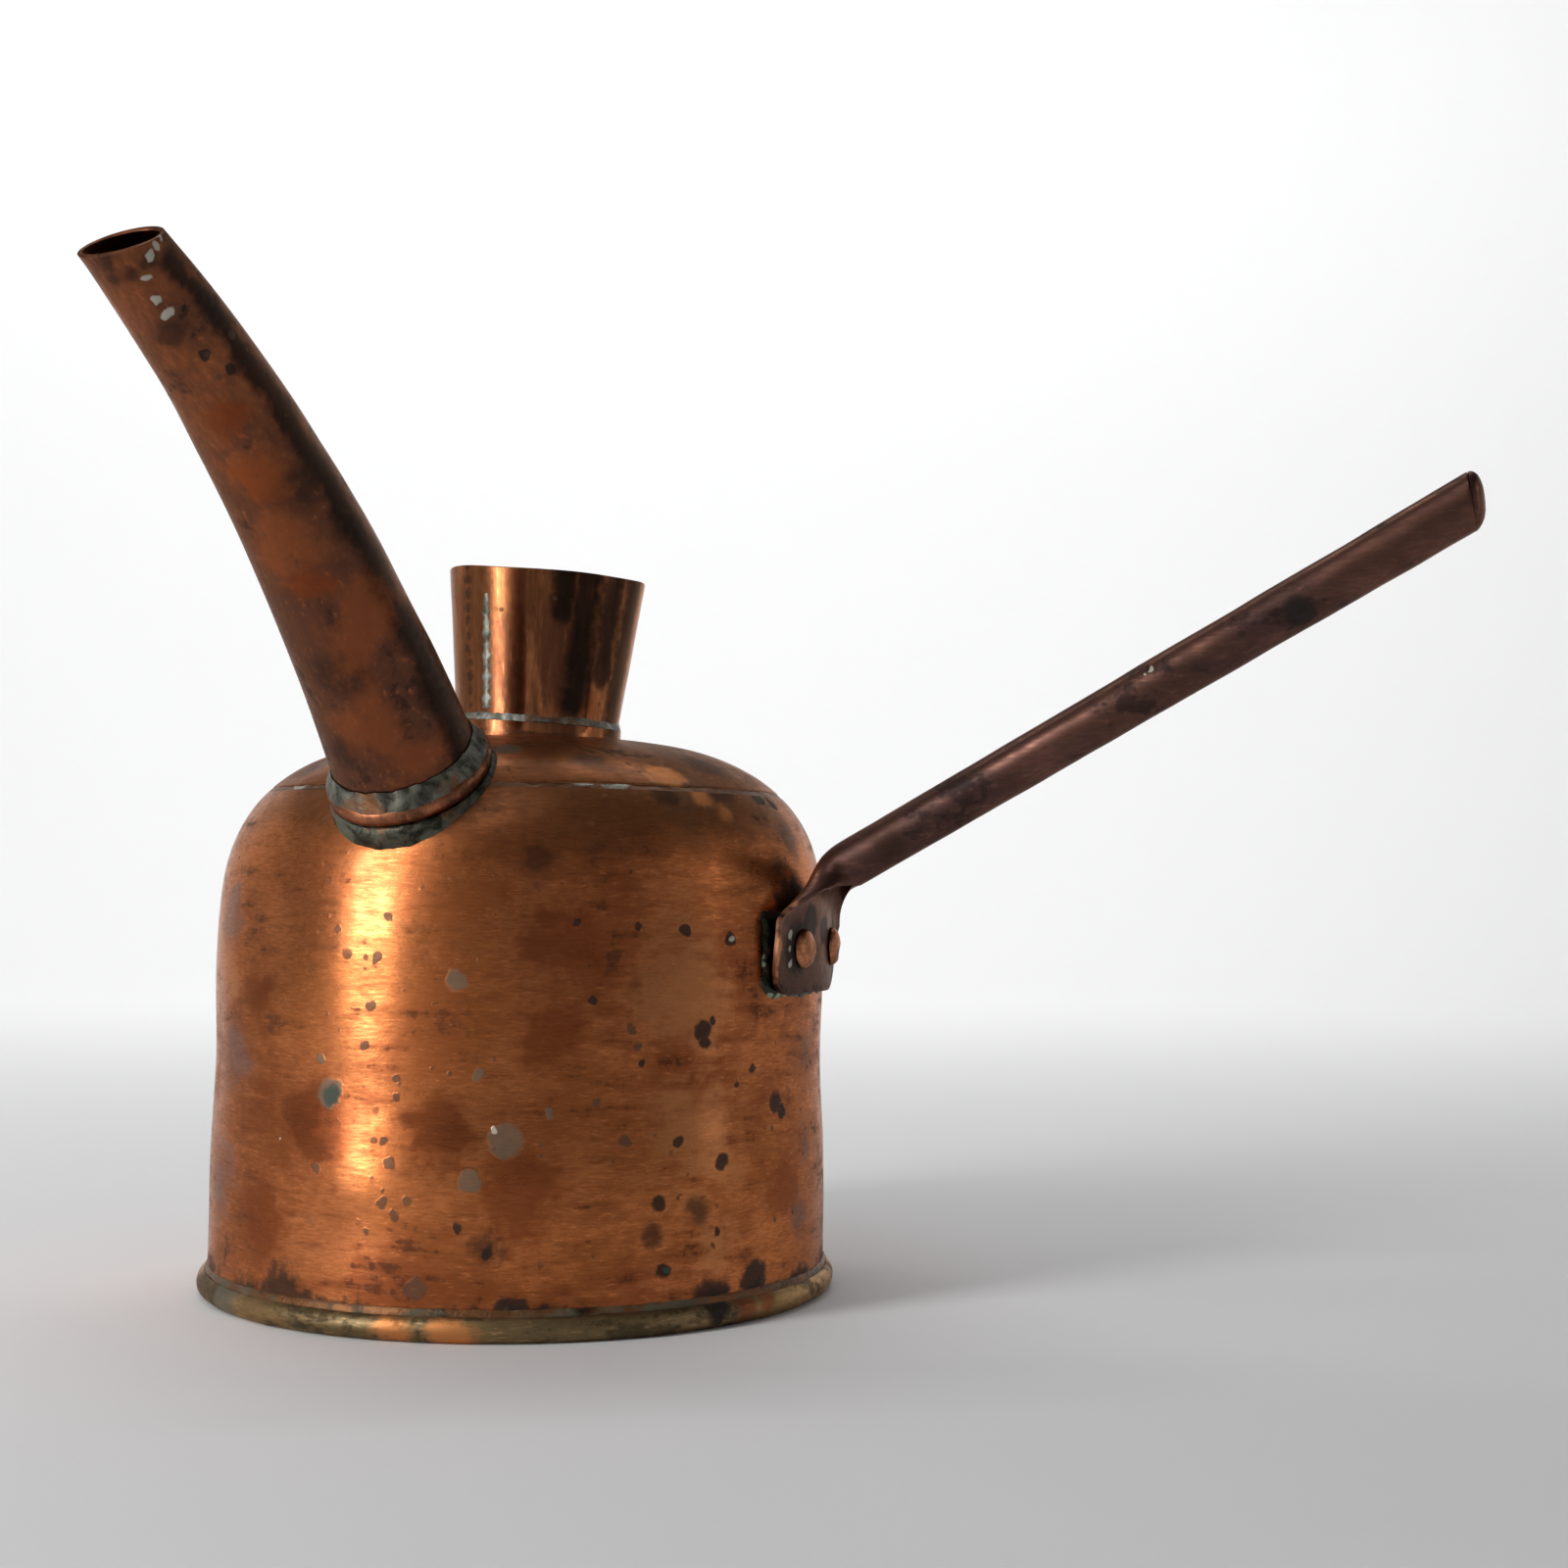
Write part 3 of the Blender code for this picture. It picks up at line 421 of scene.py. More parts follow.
@dataclass(frozen=True)
class AgedCopper:
    """Copper that was polished once, with brown skin, oxide specks and scratches."""

    name: str
    clean: Colour = (0.60, 0.196, 0.066)
    skin: Colour = (0.25, 0.066, 0.020)
    dark: Colour = (0.040, 0.018, 0.012)
    varnish: float = 0.10
    tarnish: float = 0.5
    blotches: float = 0.52
    specks: float = 0.14
    gloss: float = 0.20
    dull: float = 0.36
    wipe_turn: Sequence[float] = (0.0, 0.0, 0.0)
    wipe_scale: Sequence[float] = (42.0, 42.0, 250.0)
    wipe_weight: float = 0.25
    grime_top: float = 0.0
    olive_from: float = 0.0
    marks: Sequence[Mark] = ()

    def stained(self, coat: Coat, kind: Stain, place: bpy.types.NodeSocket) -> Value | None:
        """Return how near the stains of one kind are, or nothing where there are none."""
        nearest = None
        for mark in self.marks:
            if mark.kind is kind:
                share = coat.nearness(place, mark.place, mark.radius * MILLIMETRE)
                nearest = share if nearest is None else nearest.least(share)
        return nearest

    def grain(self, coat: Coat) -> Grain:
        """Return the noises, with the wiping marks along the way that the piece was polished."""
        hair_scale = [value * 6.0 for value in self.wipe_scale]
        return Grain(wide=coat.noise(8.0, 5.0, 0.6, 0.9),
                     middle=coat.noise(36.0, 6.0, 0.64, 0.4),
                     fine=coat.noise(330.0, 4.0, 0.62),
                     wipes=coat.noise(1.0, 5.0, 0.64, 0.0, coat.stretched(self.wipe_scale, self.wipe_turn)),
                     hairs=coat.noise(1.0, 3.0, 0.6, 0.0, coat.stretched(hair_scale, self.wipe_turn)))

    def skinned(self, coat: Coat, grain: Grain, cloud: Value) -> Layers:
        """Return the metal under its brown skin, cloudy and wiped."""
        rest = 1.0 - self.wipe_weight
        centre = 0.5 + (0.5 - self.tarnish) * 0.3
        patina = grain.wide * (0.55 * rest) + grain.middle * (0.45 * rest) + grain.wipes * self.wipe_weight
        tarnish = patina.between(centre - 0.075, centre + 0.075)
        rough = (self.gloss + tarnish * (self.dull - self.gloss) + (grain.fine - 0.5) * 0.16
                 + (grain.hairs - 0.5) * 0.2)
        height = grain.wipes * 0.2 + grain.hairs * 0.2 + grain.fine * 0.16 + grain.middle * 1.0
        colour = coat.mixed(tarnish * 0.9, self.clean, self.skin)
        layers = Layers(coat, colour, rough, coat.plain(1.0), height)
        golden = tuple(channel * weight for channel, weight in zip(self.clean, (0.84, 0.84, 0.64)))
        bright = tuple(min(1.0, channel * 1.45) for channel in self.clean)
        layers.lay(cloud, golden, 0.35)
        layers.lay(grain.hairs.between(0.42, 0.64), self.skin, 0.42)
        # Fine bright lines along the wipes are partly scratches of clean copper and partly painted glints.
        layers.lay(grain.hairs.between(0.42, 0.28), bright, 0.4)
        layers.lay(grain.wipes.between(0.55, 0.72), self.dark, 0.3)
        return layers

    def weathered(self, layers: Layers, grain: Grain) -> None:
        """Lay the olive film of a shoulder and the grime of a foot, where the finish has them."""
        coat = layers.coat
        if self.olive_from > 0.0:
            dim = coat.level() + (grain.middle - 0.5) * 0.03
            dim = dim.between(self.olive_from, self.olive_from + 0.022)
            dim = dim * (0.55 + 0.45 * grain.wide.between(0.4, 0.6))
            layers.lay(dim, (0.150, 0.078, 0.038), 0.8, rough=0.22, metal=-0.15)
            layers.rough = layers.rough + dim * (grain.fine - 0.5) * 0.2
        if self.grime_top > 0.0:
            crust = coat.level() + (coat.noise(22.0, 5.0, 0.65) - 0.5) * 0.07 + (grain.fine - 0.5) * 0.006
            crust = crust.between(self.grime_top, self.grime_top * 0.45)
            layers.lay(crust, (0.030, 0.020, 0.012), 0.88, rough=0.3, metal=-0.5, height=0.5)

    def spotted(self, layers: Layers, grain: Grain, cloud: Value) -> None:
        """Lay the blotches, the single marks and the oxide dots."""
        coat = layers.coat
        blot = (grain.middle * 0.5 + grain.fine * 0.2 + grain.wipes * 0.3).between(
            0.64 - 0.16 * self.blotches, 0.70 - 0.16 * self.blotches)
        layers.lay(blot, self.dark, 0.6, rough=0.12, metal=-0.2)
        torn = coat.ragged(210.0, 0.0020)
        for kind in Stain:
            share = self.stained(coat, kind, torn)
            if share is None:
                continue
            tear = (grain.middle * 0.7 + grain.wipes * 0.3 - 0.5) * kind.tearing
            mask = (share + (grain.fine - 0.5) * 0.5 + tear).between(1.05, 1.05 - kind.softness)
            layers.lay(mask, kind.tint, kind.cover, rough=0.3 * kind.dryness, metal=-0.7 * kind.dryness,
                       height=0.8 * kind.dryness)
        shaken = coat.ragged(420.0, 0.0006)
        dots = coat.flecks(92.0, 0.17, self.specks, shaken).most(
            coat.flecks(230.0, 0.24, self.specks * 1.5, shaken) * 0.8)
        dots = dots * (0.3 + 0.7 * cloud)
        layers.lay(dots, Stain.BROWN.tint, 0.8, rough=0.2, metal=-0.35, height=0.5)

    def material(self) -> bpy.types.Material:
        """Mix the finish."""
        coat = Coat(self.name)
        grain = self.grain(coat)
        cloud = coat.noise(15.0, 3.0, 0.5, 1.2).between(0.40, 0.60)
        layers = self.skinned(coat, grain, cloud)
        self.weathered(layers, grain)
        self.spotted(layers, grain, cloud)
        coat.shader.inputs["Specular IOR Level"].default_value = 0.15
        coat.shader.inputs["Specular Tint"].default_value = (0.80, 0.66, 0.58, 1.0)
        coat.shader.inputs["Coat Weight"].default_value = self.varnish
        coat.shader.inputs["Coat Roughness"].default_value = 0.28
        return coat.finished(layers.colour, layers.rough.least(0.95).most(0.1),
                             layers.metal.most(0.0).least(1.0), coat.bumped(layers.height, 0.00013))


@dataclass(frozen=True)
class TinSolder:
    """Hand-wiped tin solder: grey, lumpy, with a skin that may turn green."""

    name: str
    bright: Colour = (0.30, 0.30, 0.26)
    dull: Colour = (0.07, 0.07, 0.055)
    skin: Colour = (0.16, 0.19, 0.13)
    green: float = 0.15
    copper: float = 0.25
    pale: Sequence[Mark] = ()
    bare: Colour = (0.50, 0.50, 0.40)

    def material(self) -> bpy.types.Material:
        """Mix the finish."""
        coat = Coat(self.name)
        lumps = coat.noise(160.0, 6.0, 0.65, 0.5)
        grain = coat.noise(700.0, 3.0, 0.6)
        patches = coat.noise(45.0, 5.0, 0.6, 0.7)
        green = (patches * 0.7 + lumps * 0.3).between(0.68 - 0.45 * self.green, 0.78 - 0.45 * self.green)
        worn = coat.noise(62.0, 5.0, 0.6, 0.5).between(0.62 - 0.25 * self.copper, 0.74 - 0.25 * self.copper)
        # Lighter tin on the raised lumps is partly the tin's own uneven tone and partly painted highlight.
        colour = coat.mixed(lumps.between(0.35, 0.65), self.dull, self.bright)
        colour = coat.mixed(worn * 0.85, colour, (0.20, 0.085, 0.035))
        colour = coat.mixed(green * 0.85, colour, self.skin)
        colour = coat.mixed(grain.between(0.58, 0.72) * 0.4, colour, (0.06, 0.05, 0.045))
        torn = coat.ragged(180.0, 0.003)
        for mark in self.pale:
            bare = coat.nearness(torn, mark.place, mark.radius * MILLIMETRE).between(1.0, 0.7)
            colour = coat.mixed(bare * 0.9, colour, self.bare)
        rough = 0.34 + lumps * 0.2 + green * 0.3
        metal = 0.9 - green * 0.8
        return coat.finished(colour, rough, metal, coat.bumped(lumps * 0.8 + grain * 0.3, 0.0005))


@dataclass(frozen=True)
class OldIron:
    """Iron wire with a dark, rusty skin."""

    name: str = "rusty bead wire"

    def material(self) -> bpy.types.Material:
        """Mix the finish."""
        coat = Coat(self.name)
        rust = coat.noise(260.0, 6.0, 0.65, 0.4)
        colour = coat.mixed(rust.between(0.4, 0.65), (0.05, 0.045, 0.04), (0.20, 0.075, 0.03))
        return coat.finished(colour, 0.6 + rust * 0.3, 0.9 - rust.between(0.4, 0.65) * 0.7,
                             coat.bumped(rust, 0.0003))


@dataclass(frozen=True)
class PaleFloor:
    """Plain pale studio paper."""

    name: str = "pale studio paper"
    tone: Colour = (0.90, 0.90, 0.90)

    def material(self) -> bpy.types.Material:
        """Mix the finish."""
        coat = Coat(self.name)
        coat.shader.inputs["Specular IOR Level"].default_value = 0.15
        return coat.finished(self.tone, 0.85, 0.0)


# Modelling by hand


class Bench:
    """One new piece on the bench, shaped with the modelling operators."""

    def __init__(self, name: str) -> None:
        """Clear the selection and remember the piece's name."""
        if bpy.context.object and bpy.context.object.mode != "OBJECT":
            bpy.ops.object.mode_set(mode="OBJECT")
        bpy.ops.object.select_all(action="DESELECT")
        self.name = name
        self.thing: bpy.types.Object | None = None

    def take(self) -> bpy.types.Object:
        """Name the primitive that was just added and open it for editing."""
        self.thing = bpy.context.object
        self.thing.name = self.name
        self.thing.data.name = self.name
        bpy.ops.object.mode_set(mode="EDIT")
        return self.thing

    def closed(self) -> "Bench":
        """Leave edit mode with doubles merged and faces pointing out."""
        bpy.ops.mesh.select_all(action="SELECT")
        bpy.ops.mesh.remove_doubles(threshold=SAME_POINT)
        bpy.ops.mesh.normals_make_consistent(inside=False)
        bpy.ops.object.mode_set(mode="OBJECT")
        return self

    def turned(self, outline: Outline, facets: int, loop: bool = False) -> "Bench":
        """Draw an outline of (radius, height) by extruding one point and spin it.

        Args:
            outline: the points, in metres.
            facets: facets round the axis.
            loop: whether the last point joins the first.

        Returns:
            The bench.
        """
        bpy.ops.mesh.primitive_plane_add(size=0.001)
        self.take()
        bpy.ops.mesh.select_all(action="SELECT")
        bpy.ops.mesh.merge(type="CENTER")
        here = Vector((outline[0][0], 0.0, outline[0][1]))
        bpy.ops.transform.translate(value=here)
        steps = list(outline[1:]) + ([outline[0]] if loop else [])
        for radius, height in steps:
            there = Vector((radius, 0.0, height))
            bpy.ops.mesh.extrude_vertices_move(TRANSFORM_OT_translate={"value": there - here})
            here = there
        bpy.ops.mesh.select_all(action="SELECT")
        bpy.ops.mesh.spin(steps=facets, angle=math.tau, center=(0.0, 0.0, 0.0), axis=(0.0, 0.0, 1.0))
        return self.closed()

    def piped(self, ends: Sequence[tuple[Vector, Vector, Vector, float]], facets: int, steps: int) -> "Bench":
        """Draw a bezier curve with a round, tapering section and make it a mesh.

        Args:
            ends: for each point its place, left handle, right handle and radius.
            facets: facets round the section, a multiple of 4.
            steps: stations between two points.

        Returns:
            The bench.
        """
        bpy.ops.curve.primitive_bezier_curve_add()
        curve = bpy.context.object
        curve.location = (0.0, 0.0, 0.0)
        spline = curve.data.splines[0]
        spline.bezier_points.add(len(ends) - len(spline.bezier_points))
        for knot, (place, left, right, radius) in zip(spline.bezier_points, ends):
            knot.handle_left_type = knot.handle_right_type = "FREE"
            knot.co, knot.handle_left, knot.handle_right, knot.radius = place, left, right, radius
        spline.resolution_u = steps
        spline.radius_interpolation = "LINEAR"
        curve.data.bevel_depth = 1.0
        curve.data.bevel_resolution = facets // 4 - 1
        curve.data.use_fill_caps = False
        bpy.ops.object.convert(target="MESH")
        self.take()
        return self.closed()

    def wrapped(self, columns: int, rows: int, place: Callable[[float, float], Vector]) -> "Bench":
        """Add a flat grid and wrap it where a function says.

        Args:
            columns: cells across.
            rows: cells along.
            place: gives the point for a share across and a share along.

        Returns:
            The bench.
        """
        bpy.ops.mesh.primitive_grid_add(x_subdivisions=columns, y_subdivisions=rows, size=1.0)
        self.take()
        bpy.ops.object.mode_set(mode="OBJECT")
        for vertex in self.thing.data.vertices:
            vertex.co = place(vertex.co.x + 0.5, vertex.co.y + 0.5)
        bpy.ops.object.mode_set(mode="EDIT")
        return self.closed()

    def sawn(self, point: Vector, normal: Vector) -> "Bench":
        """Cut off what lies beyond a plane."""
        bpy.ops.object.mode_set(mode="EDIT")
        bpy.ops.mesh.select_all(action="SELECT")
        bpy.ops.mesh.bisect(plane_co=point, plane_no=normal, clear_outer=True, use_fill=False)
        bpy.ops.object.mode_set(mode="OBJECT")
        return self

    def modified(self, kind: str, **settings: object) -> "Bench":
        """Add a modifier with these settings and apply it."""
        step = self.thing.modifiers.new(kind.title(), kind)
        for key, value in settings.items():
            setattr(step, key, value)
        bpy.context.view_layer.objects.active = self.thing
        bpy.ops.object.modifier_apply(modifier=step.name)
        return self

    def thickened(self, sheet: float, edge: float = 0.0) -> "Bench":
        """Give a skin the thickness of its sheet, inwards, and round the edges."""
        self.modified("SOLIDIFY", thickness=sheet, offset=-1.0, use_even_offset=True)
        if edge:
            self.modified("BEVEL", width=edge, segments=3, limit_method="ANGLE", angle_limit=math.radians(50))
        return self

    def lumped(self, size: float, depth: float, detail: int = 2) -> "Bench":
        """Push the surface in and out by soft lumps of a size and depth in metres."""
        cloud = bpy.data.textures.new(self.name + " lumps", "CLOUDS")
        cloud.noise_scale = size
        cloud.noise_depth = detail
        return self.modified("DISPLACE", texture=cloud, strength=2.0 * depth, mid_level=0.5,
                             texture_coords="LOCAL")

    def pushed(self, move: Callable[[Vector], Vector]) -> "Bench":
        """Move every point by what a function gives."""
        for vertex in self.thing.data.vertices:
            vertex.co = vertex.co + move(vertex.co)
        return self

    def pierced(self, tool: bpy.types.Object) -> "Bench":
        """Cut a closed body out of the piece and throw the body away."""
        self.modified("BOOLEAN", operation="DIFFERENCE", solver="EXACT", object=tool)
        bpy.data.objects.remove(tool, do_unlink=True)
        return self

    def placed(self, place: Matrix) -> "Bench":
        """Move the piece to where it belongs and bake the move into its mesh."""
        bpy.ops.object.select_all(action="DESELECT")
        self.thing.select_set(True)
        bpy.context.view_layer.objects.active = self.thing
        self.thing.matrix_world = place @ self.thing.matrix_world
        bpy.ops.object.transform_apply(location=True, rotation=True, scale=True)
        return self

    def done(self, finish: bpy.types.Material, slot: Slot, *nodes: str,
             angle: float = 40.0) -> bpy.types.Object:
        """Shade, dress and attach the piece to the body.

        Args:
            finish: its material.
            slot: the record's slot that it stands for; not used.
            nodes: the CAD nodes that it replaces.
            angle: edges sharper than this many degrees stay crisp.

        Returns:
            The finished object.
        """
        bpy.ops.object.select_all(action="DESELECT")
        self.thing.select_set(True)
        bpy.context.view_layer.objects.active = self.thing
        bpy.ops.object.shade_smooth_by_angle(angle=math.radians(angle))
        self.thing.data.materials.clear()
        self.thing.data.materials.append(finish)
        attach(self.thing, BODY)
        if nodes:
            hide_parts(*nodes)
        LOG.info("%s: %d faces", self.name, len(self.thing.data.polygons))
        return self.thing


def placing(origin: Vector, axis: Vector) -> Matrix:
    """Return the matrix that stands a piece's Z on an axis at an origin."""
    up = axis.normalized()
    level = Vector((0.0, 0.0, 1.0)).cross(up)
    side = level.normalized() if level.length > 1e-6 else Vector((1.0, 0.0, 0.0))
    turn = Matrix((side, up.cross(side), up)).transposed()
    return Matrix.Translation(origin) @ turn.to_4x4()


def softly(distance: float) -> float:
    """Return a soft falloff, 1 in the middle and 0 from a distance of 1 on."""
    inside = max(0.0, 1.0 - distance * distance)
    return inside * inside


# The can's sub-assemblies


@dataclass(frozen=True)
class Dent:
    """A soft dent in the wall; angles in degrees, the rest in millimetres."""

    azimuth: float
    height: float
    wide: float
    tall: float
    depth: float

    def depth_at(self, point: Vector) -> float:
        """Return how deep the dent is at a point, in metres."""
        radius = max(math.hypot(point.x, point.y), 0.001)
        turn = math.degrees(math.atan2(point.x, -point.y)) - self.azimuth
        turn = (turn + 180.0) % 360.0 - 180.0
        across = math.radians(turn) * radius / (self.wide * MILLIMETRE)
        along = (point.z - self.height * MILLIMETRE) / (self.tall * MILLIMETRE)
        return self.depth * MILLIMETRE * softly(math.hypot(across, along))


@dataclass
class Body:
    """Wall, crown, bottom and the solder between them; sizes in metres."""

    facets: int = 224
    gap: float = 0.0003
    sheet: float = 0.0012
    radius: float = 0.0996
    foot: float = 0.1010
    flare_low: float = 0.040
    flare_high: float = 0.075
    base: float = 0.1125
    rise: float = 0.0688
    power: float = 2.96
    seam: float = 0.0840
    groove: float = 0.0018
    lap: float = 0.0080
    bead_centre: float = 0.1004
    bead: float = 0.0040
    lip_angle: float = math.radians(65.0)
    dents: Sequence[Dent] = (
        Dent(39.0, 112.0, 26.0, 22.0, 0.9), Dent(58.0, 96.0, 18.0, 14.0, 0.5),
        Dent(-28.0, 118.0, 22.0, 26.0, 0.8), Dent(-48.0, 84.0, 14.0, 30.0, 0.5),
        Dent(5.0, 60.0, 30.0, 18.0, 0.25), Dent(-10.0, 30.0, 26.0, 14.0, 0.3),
        Dent(150.0, 90.0, 34.0, 28.0, 0.8), Dent(210.0, 60.0, 30.0, 40.0, 0.6),
        Dent(250.0, 110.0, 22.0, 20.0, 0.7), Dent(115.0, 40.0, 20.0, 16.0, 0.5),
    )
    marks: Sequence[Mark] = scattered({
        Stain.SLATE: ((-9, 70, 5.0), (23, 58, 4.9), (17, 46, 3.5), (18, 77, 2.3), (14, 104, 3.8),
            (-11, 80, 1.7), (30, 66, 2.0), (160, 60, 4.5), (205, 96, 3.8)),
        Stain.TEAL: ((-8.6, 69.6, 3.4), (50.5, 19, 1.8), (206, 95, 2.4)),
        Stain.BROWN: ((8, 15, 4.6), (-1, 96, 1.9), (-2, 85, 1.6), (4, 75, 1.6), (4, 70, 1.6), (2, 57, 1.4),
            (3, 51, 1.9), (0, 45, 1.9), (2, 43, 1.5), (2, 39, 2.1), (4, 36, 2.1), (-1, 31, 1.7),
            (3, 22, 1.9), (1, 18, 1.7), (2, 122, 1.4), (0, 110, 1.7), (-8, 118, 1.4), (-11, 48, 2.0),
            (38, 68, 1.8), (43, 57, 2.3), (44, 90, 1.9), (45, 85, 1.6)),
        Stain.PALE: ((21, 61, 0.9), (-20, 55, 0.8), (64.5, 116, 1.2)),
        Stain.BLACK: ((20, 26, 2.5), (15, 33, 2.5), (50, 19, 2.9), (77, 65, 3.9), (79, 62, 2.6),
            (62, 49, 2.8), (58, 89, 3.2), (58.5, 85, 2.0), (60, 92, 1.4), (64, 116, 2.6), (37, 98, 1.8),
            (34, 121, 1.4), (46, 80, 1.4), (53, 56, 1.8), (70, 76, 1.9), (66, 72, 1.2), (49, 38, 2.8),
            (53, 40, 1.5), (60, 24, 1.9), (61, 28, 1.9), (45, 120, 1.6), (44, 136, 1.7), (54, 119, 1.9),
            (60, 8, 9.0), (70, 13, 7.0), (24, 8, 6.5), (30, 7, 5.0), (82, 122, 13.0), (83, 160, 3.5, 87.0),
            (88, 158, 3.0, 88.0), (240, 40, 3.2), (130, 30, 3.0), (185, 120, 2.4), (275, 70, 2.6),
            (225, 20, 10.0)),
        # Painted shade: the umber marks at azimuth 79 to 86, round the palm and under the handle, stand for a
        # dark reflection there.
        Stain.UMBER: ((19, 27, 6.0), (57, 34, 6.5), (48, 29, 4.5), (79, 138, 9.0), (80, 106, 8.0),
            (70, 162, 9.0, 86.0), (55, 160, 5.0, 88.0), (86, 148, 10.0, 96.0), (28, 140, 9.0, 99.0),
            (150, 108, 12.0)),
        # The large tan patches at azimuth 55 to 60 are partly the metal's own tone and partly a painted
        # reflection of the right soft box.
        Stain.TAN: ((55, 100, 22.0), (57, 60, 24.0), (60, 25, 14.0), (-4, 138, 7.0), (-38, 100, 5.0),
            (190, 45, 22.0), (300, 60, 18.0)),
        Stain.RED: ((36, 115, 17.0), (30, 88, 14.0), (-10, 60, 18.0), (26, 42, 15.0), (10, 60, 13.0),
            (-26, 30, 14.0), (-28, 96, 12.0), (80, 40, 12.0), (255, 95, 20.0), (170, 100, 18.0),
            (110, 70, 16.0)),
        Stain.RUBBED: ((63, 159, 5.0, 88.0), (68, 155, 4.5, 91.0)),
        # Painted reflection: the mauve marks at the body's left and right edges stand for its grazing sheen.
        Stain.MAUVE: ((-38, 80, 16.0), (-42, 40, 14.0), (-40, 122, 13.0), (90, 78, 11.0), (88, 52, 9.0),
            (86, 28, 9.0)),
    })

    rust: Sequence[Mark] = scattered({
        Stain.RED: ((66, 6, 7.0, 103.0), (72, 7, 5.0, 103.0)),
        Stain.BLACK: ((60, 7, 6.0, 103.0),),
        Stain.SLATE: ((-35, 5, 9.0, 103.0),),
        Stain.UMBER: ((-50, 6, 8.0, 103.0),),
        Stain.RUBBED: ((5, 4, 8.0, 103.0), (14, 3, 8.0, 103.0)),
    })
    crown_marks: Sequence[Mark] = scattered({
        Stain.RUBBED: ((58, 167, 7.0, 80.0),),
        Stain.UMBER: ((40, 171, 8.0, 72.0), (75, 170, 9.0, 74.0), (-40, 169, 10.0, 76.0),
            (200, 174, 12.0, 60.0)),
        Stain.SLATE: ((20, 173, 6.0, 66.0),),
        Stain.RED: ((120, 172, 9.0, 70.0),),
        Stain.TAN: ((260, 170, 10.0, 74.0),),
    })

    @property
    def share(self) -> float:
        """Return the shoulder's exponent on sine and cosine."""
        return 2.0 / self.power

    @property
    def top(self) -> float:
        """Return the height of the crown."""
        return self.base + self.rise

    def shoulder(self, parameter: float, inset: float = 0.0) -> tuple[float, float]:
        """Return (radius, height) on the shoulder, from 0 at the wall to a quarter turn."""
        return ((self.radius - inset) * max(math.cos(parameter), 0.0) ** self.share,
                self.base + (self.rise - inset) * math.sin(parameter) ** self.share)

    def parameter(self, radius: float) -> float:
        """Return the shoulder's parameter at a radius."""
        return math.acos((radius / self.radius) ** (1.0 / self.share))

    def arc(self, start: float, end: float, steps: int, inset: float = 0.0) -> list[tuple[float, float]]:
        """Return shoulder points between two parameters."""
        return [self.shoulder(start + (end - start) * step / steps, inset) for step in range(steps + 1)]

    def lean(self, point: Vector) -> Vector:
        """Return the move that dents the body and sets its shoulder a little askew."""
        depth = sum(dent.depth_at(point) for dent in self.dents)
        outward = Vector((point.x, point.y, 0.0))
        outward = outward.normalized() if outward.length > 1e-6 else outward
        askew = min(1.0, max(0.0, (point.z - 0.095) / 0.05)) * 0.0007
        low = softly((point.z - 0.105) / 0.03) * 0.0006
        side = Vector((math.cos(math.radians(25.5)), math.sin(math.radians(25.5)), 0.0))
        return side * askew - outward * depth + outward * low * abs(outward.dot(side))

    def material(self, name: str, marks: Sequence[Mark] = (), **changes: object) -> bpy.types.Material:
        """Mix the body's copper under a name."""
        return AgedCopper(name, marks=marks, grime_top=0.012, olive_from=0.138, **changes).material()

    def spout_tool(self, spout: "Spout") -> bpy.types.Object:
        """Return the body that opens the shoulder for the spout."""
        bench = Bench("spout-opening")
        radius = spout.root_radius - 0.0004
        bench.turned([(0.0, -0.016), (radius, -0.016), (radius, 0.014), (0.0, 0.014)], 64)
        return bench.placed(placing(spout.root, spout.heading(0.0))).thing

    def filler_tool(self, filler: "Filler") -> bpy.types.Object:
        """Return the body that opens the crown for the filler."""
        bench = Bench("filler-opening")
        radius = filler.root_radius - 0.0006
        bench.turned([(0.0, -0.014), (radius, -0.014), (radius, 0.008), (0.0, 0.008)], 64)
        return bench.placed(filler.stand()).thing

    def build(self, spout: "Spout", filler: "Filler") -> None:
        """Build every piece of the body."""
        self.build_wall(spout)
        self.build_crown(spout, filler)
        self.build_foot()

    def build_wall(self, spout: "Spout") -> None:
        """Build the wall, up to the step that lies under the crown."""
        joggle = self.parameter(self.seam + self.groove)
        lap_end = self.parameter(self.seam - self.lap)
        rows = [(self.foot, self.sheet + self.gap)]
        rows += [(self.foot, height * MILLIMETRE) for height in range(4, 41, 3)]
        for step in range(1, 13):
            blend = step / 12
            smooth = blend * blend * (3.0 - 2.0 * blend)
            rows.append((self.foot + (self.radius - self.foot) * smooth,
                         self.flare_low + (self.flare_high - self.flare_low) * blend))
        rows += [(self.radius, 0.0780 + 0.003 * step) for step in range(11)]
        rows += self.arc(0.0, joggle, 34)
        rows += self.arc(joggle, lap_end, 4, self.sheet + self.gap)
        wall = Bench("can-wall").turned(rows, self.facets).pushed(self.lean).lumped(0.045, 0.00045, 1)
        wall.thickened(self.sheet).pierced(self.spout_tool(spout))
        wall.done(self.material("wall copper", self.marks), Slot.BODY, "body_wall", angle=50.0)

    def build_crown(self, spout: "Spout", filler: "Filler") -> None:
        """Build the crown and the solder in its seam."""
        edge = self.parameter(self.seam)
        crown = Bench("can-crown").turned(self.arc(math.pi / 2, edge, 46), self.facets).pushed(self.lean)
        crown.lumped(0.045, 0.00045, 1)
        crown.thickened(self.sheet, 0.0004).pierced(self.spout_tool(spout)).pierced(self.filler_tool(filler))
        copper = self.material("crown copper", self.crown_marks, tarnish=0.6, blotches=0.6)
        crown.done(copper, Slot.BODY, "crown", angle=50.0)

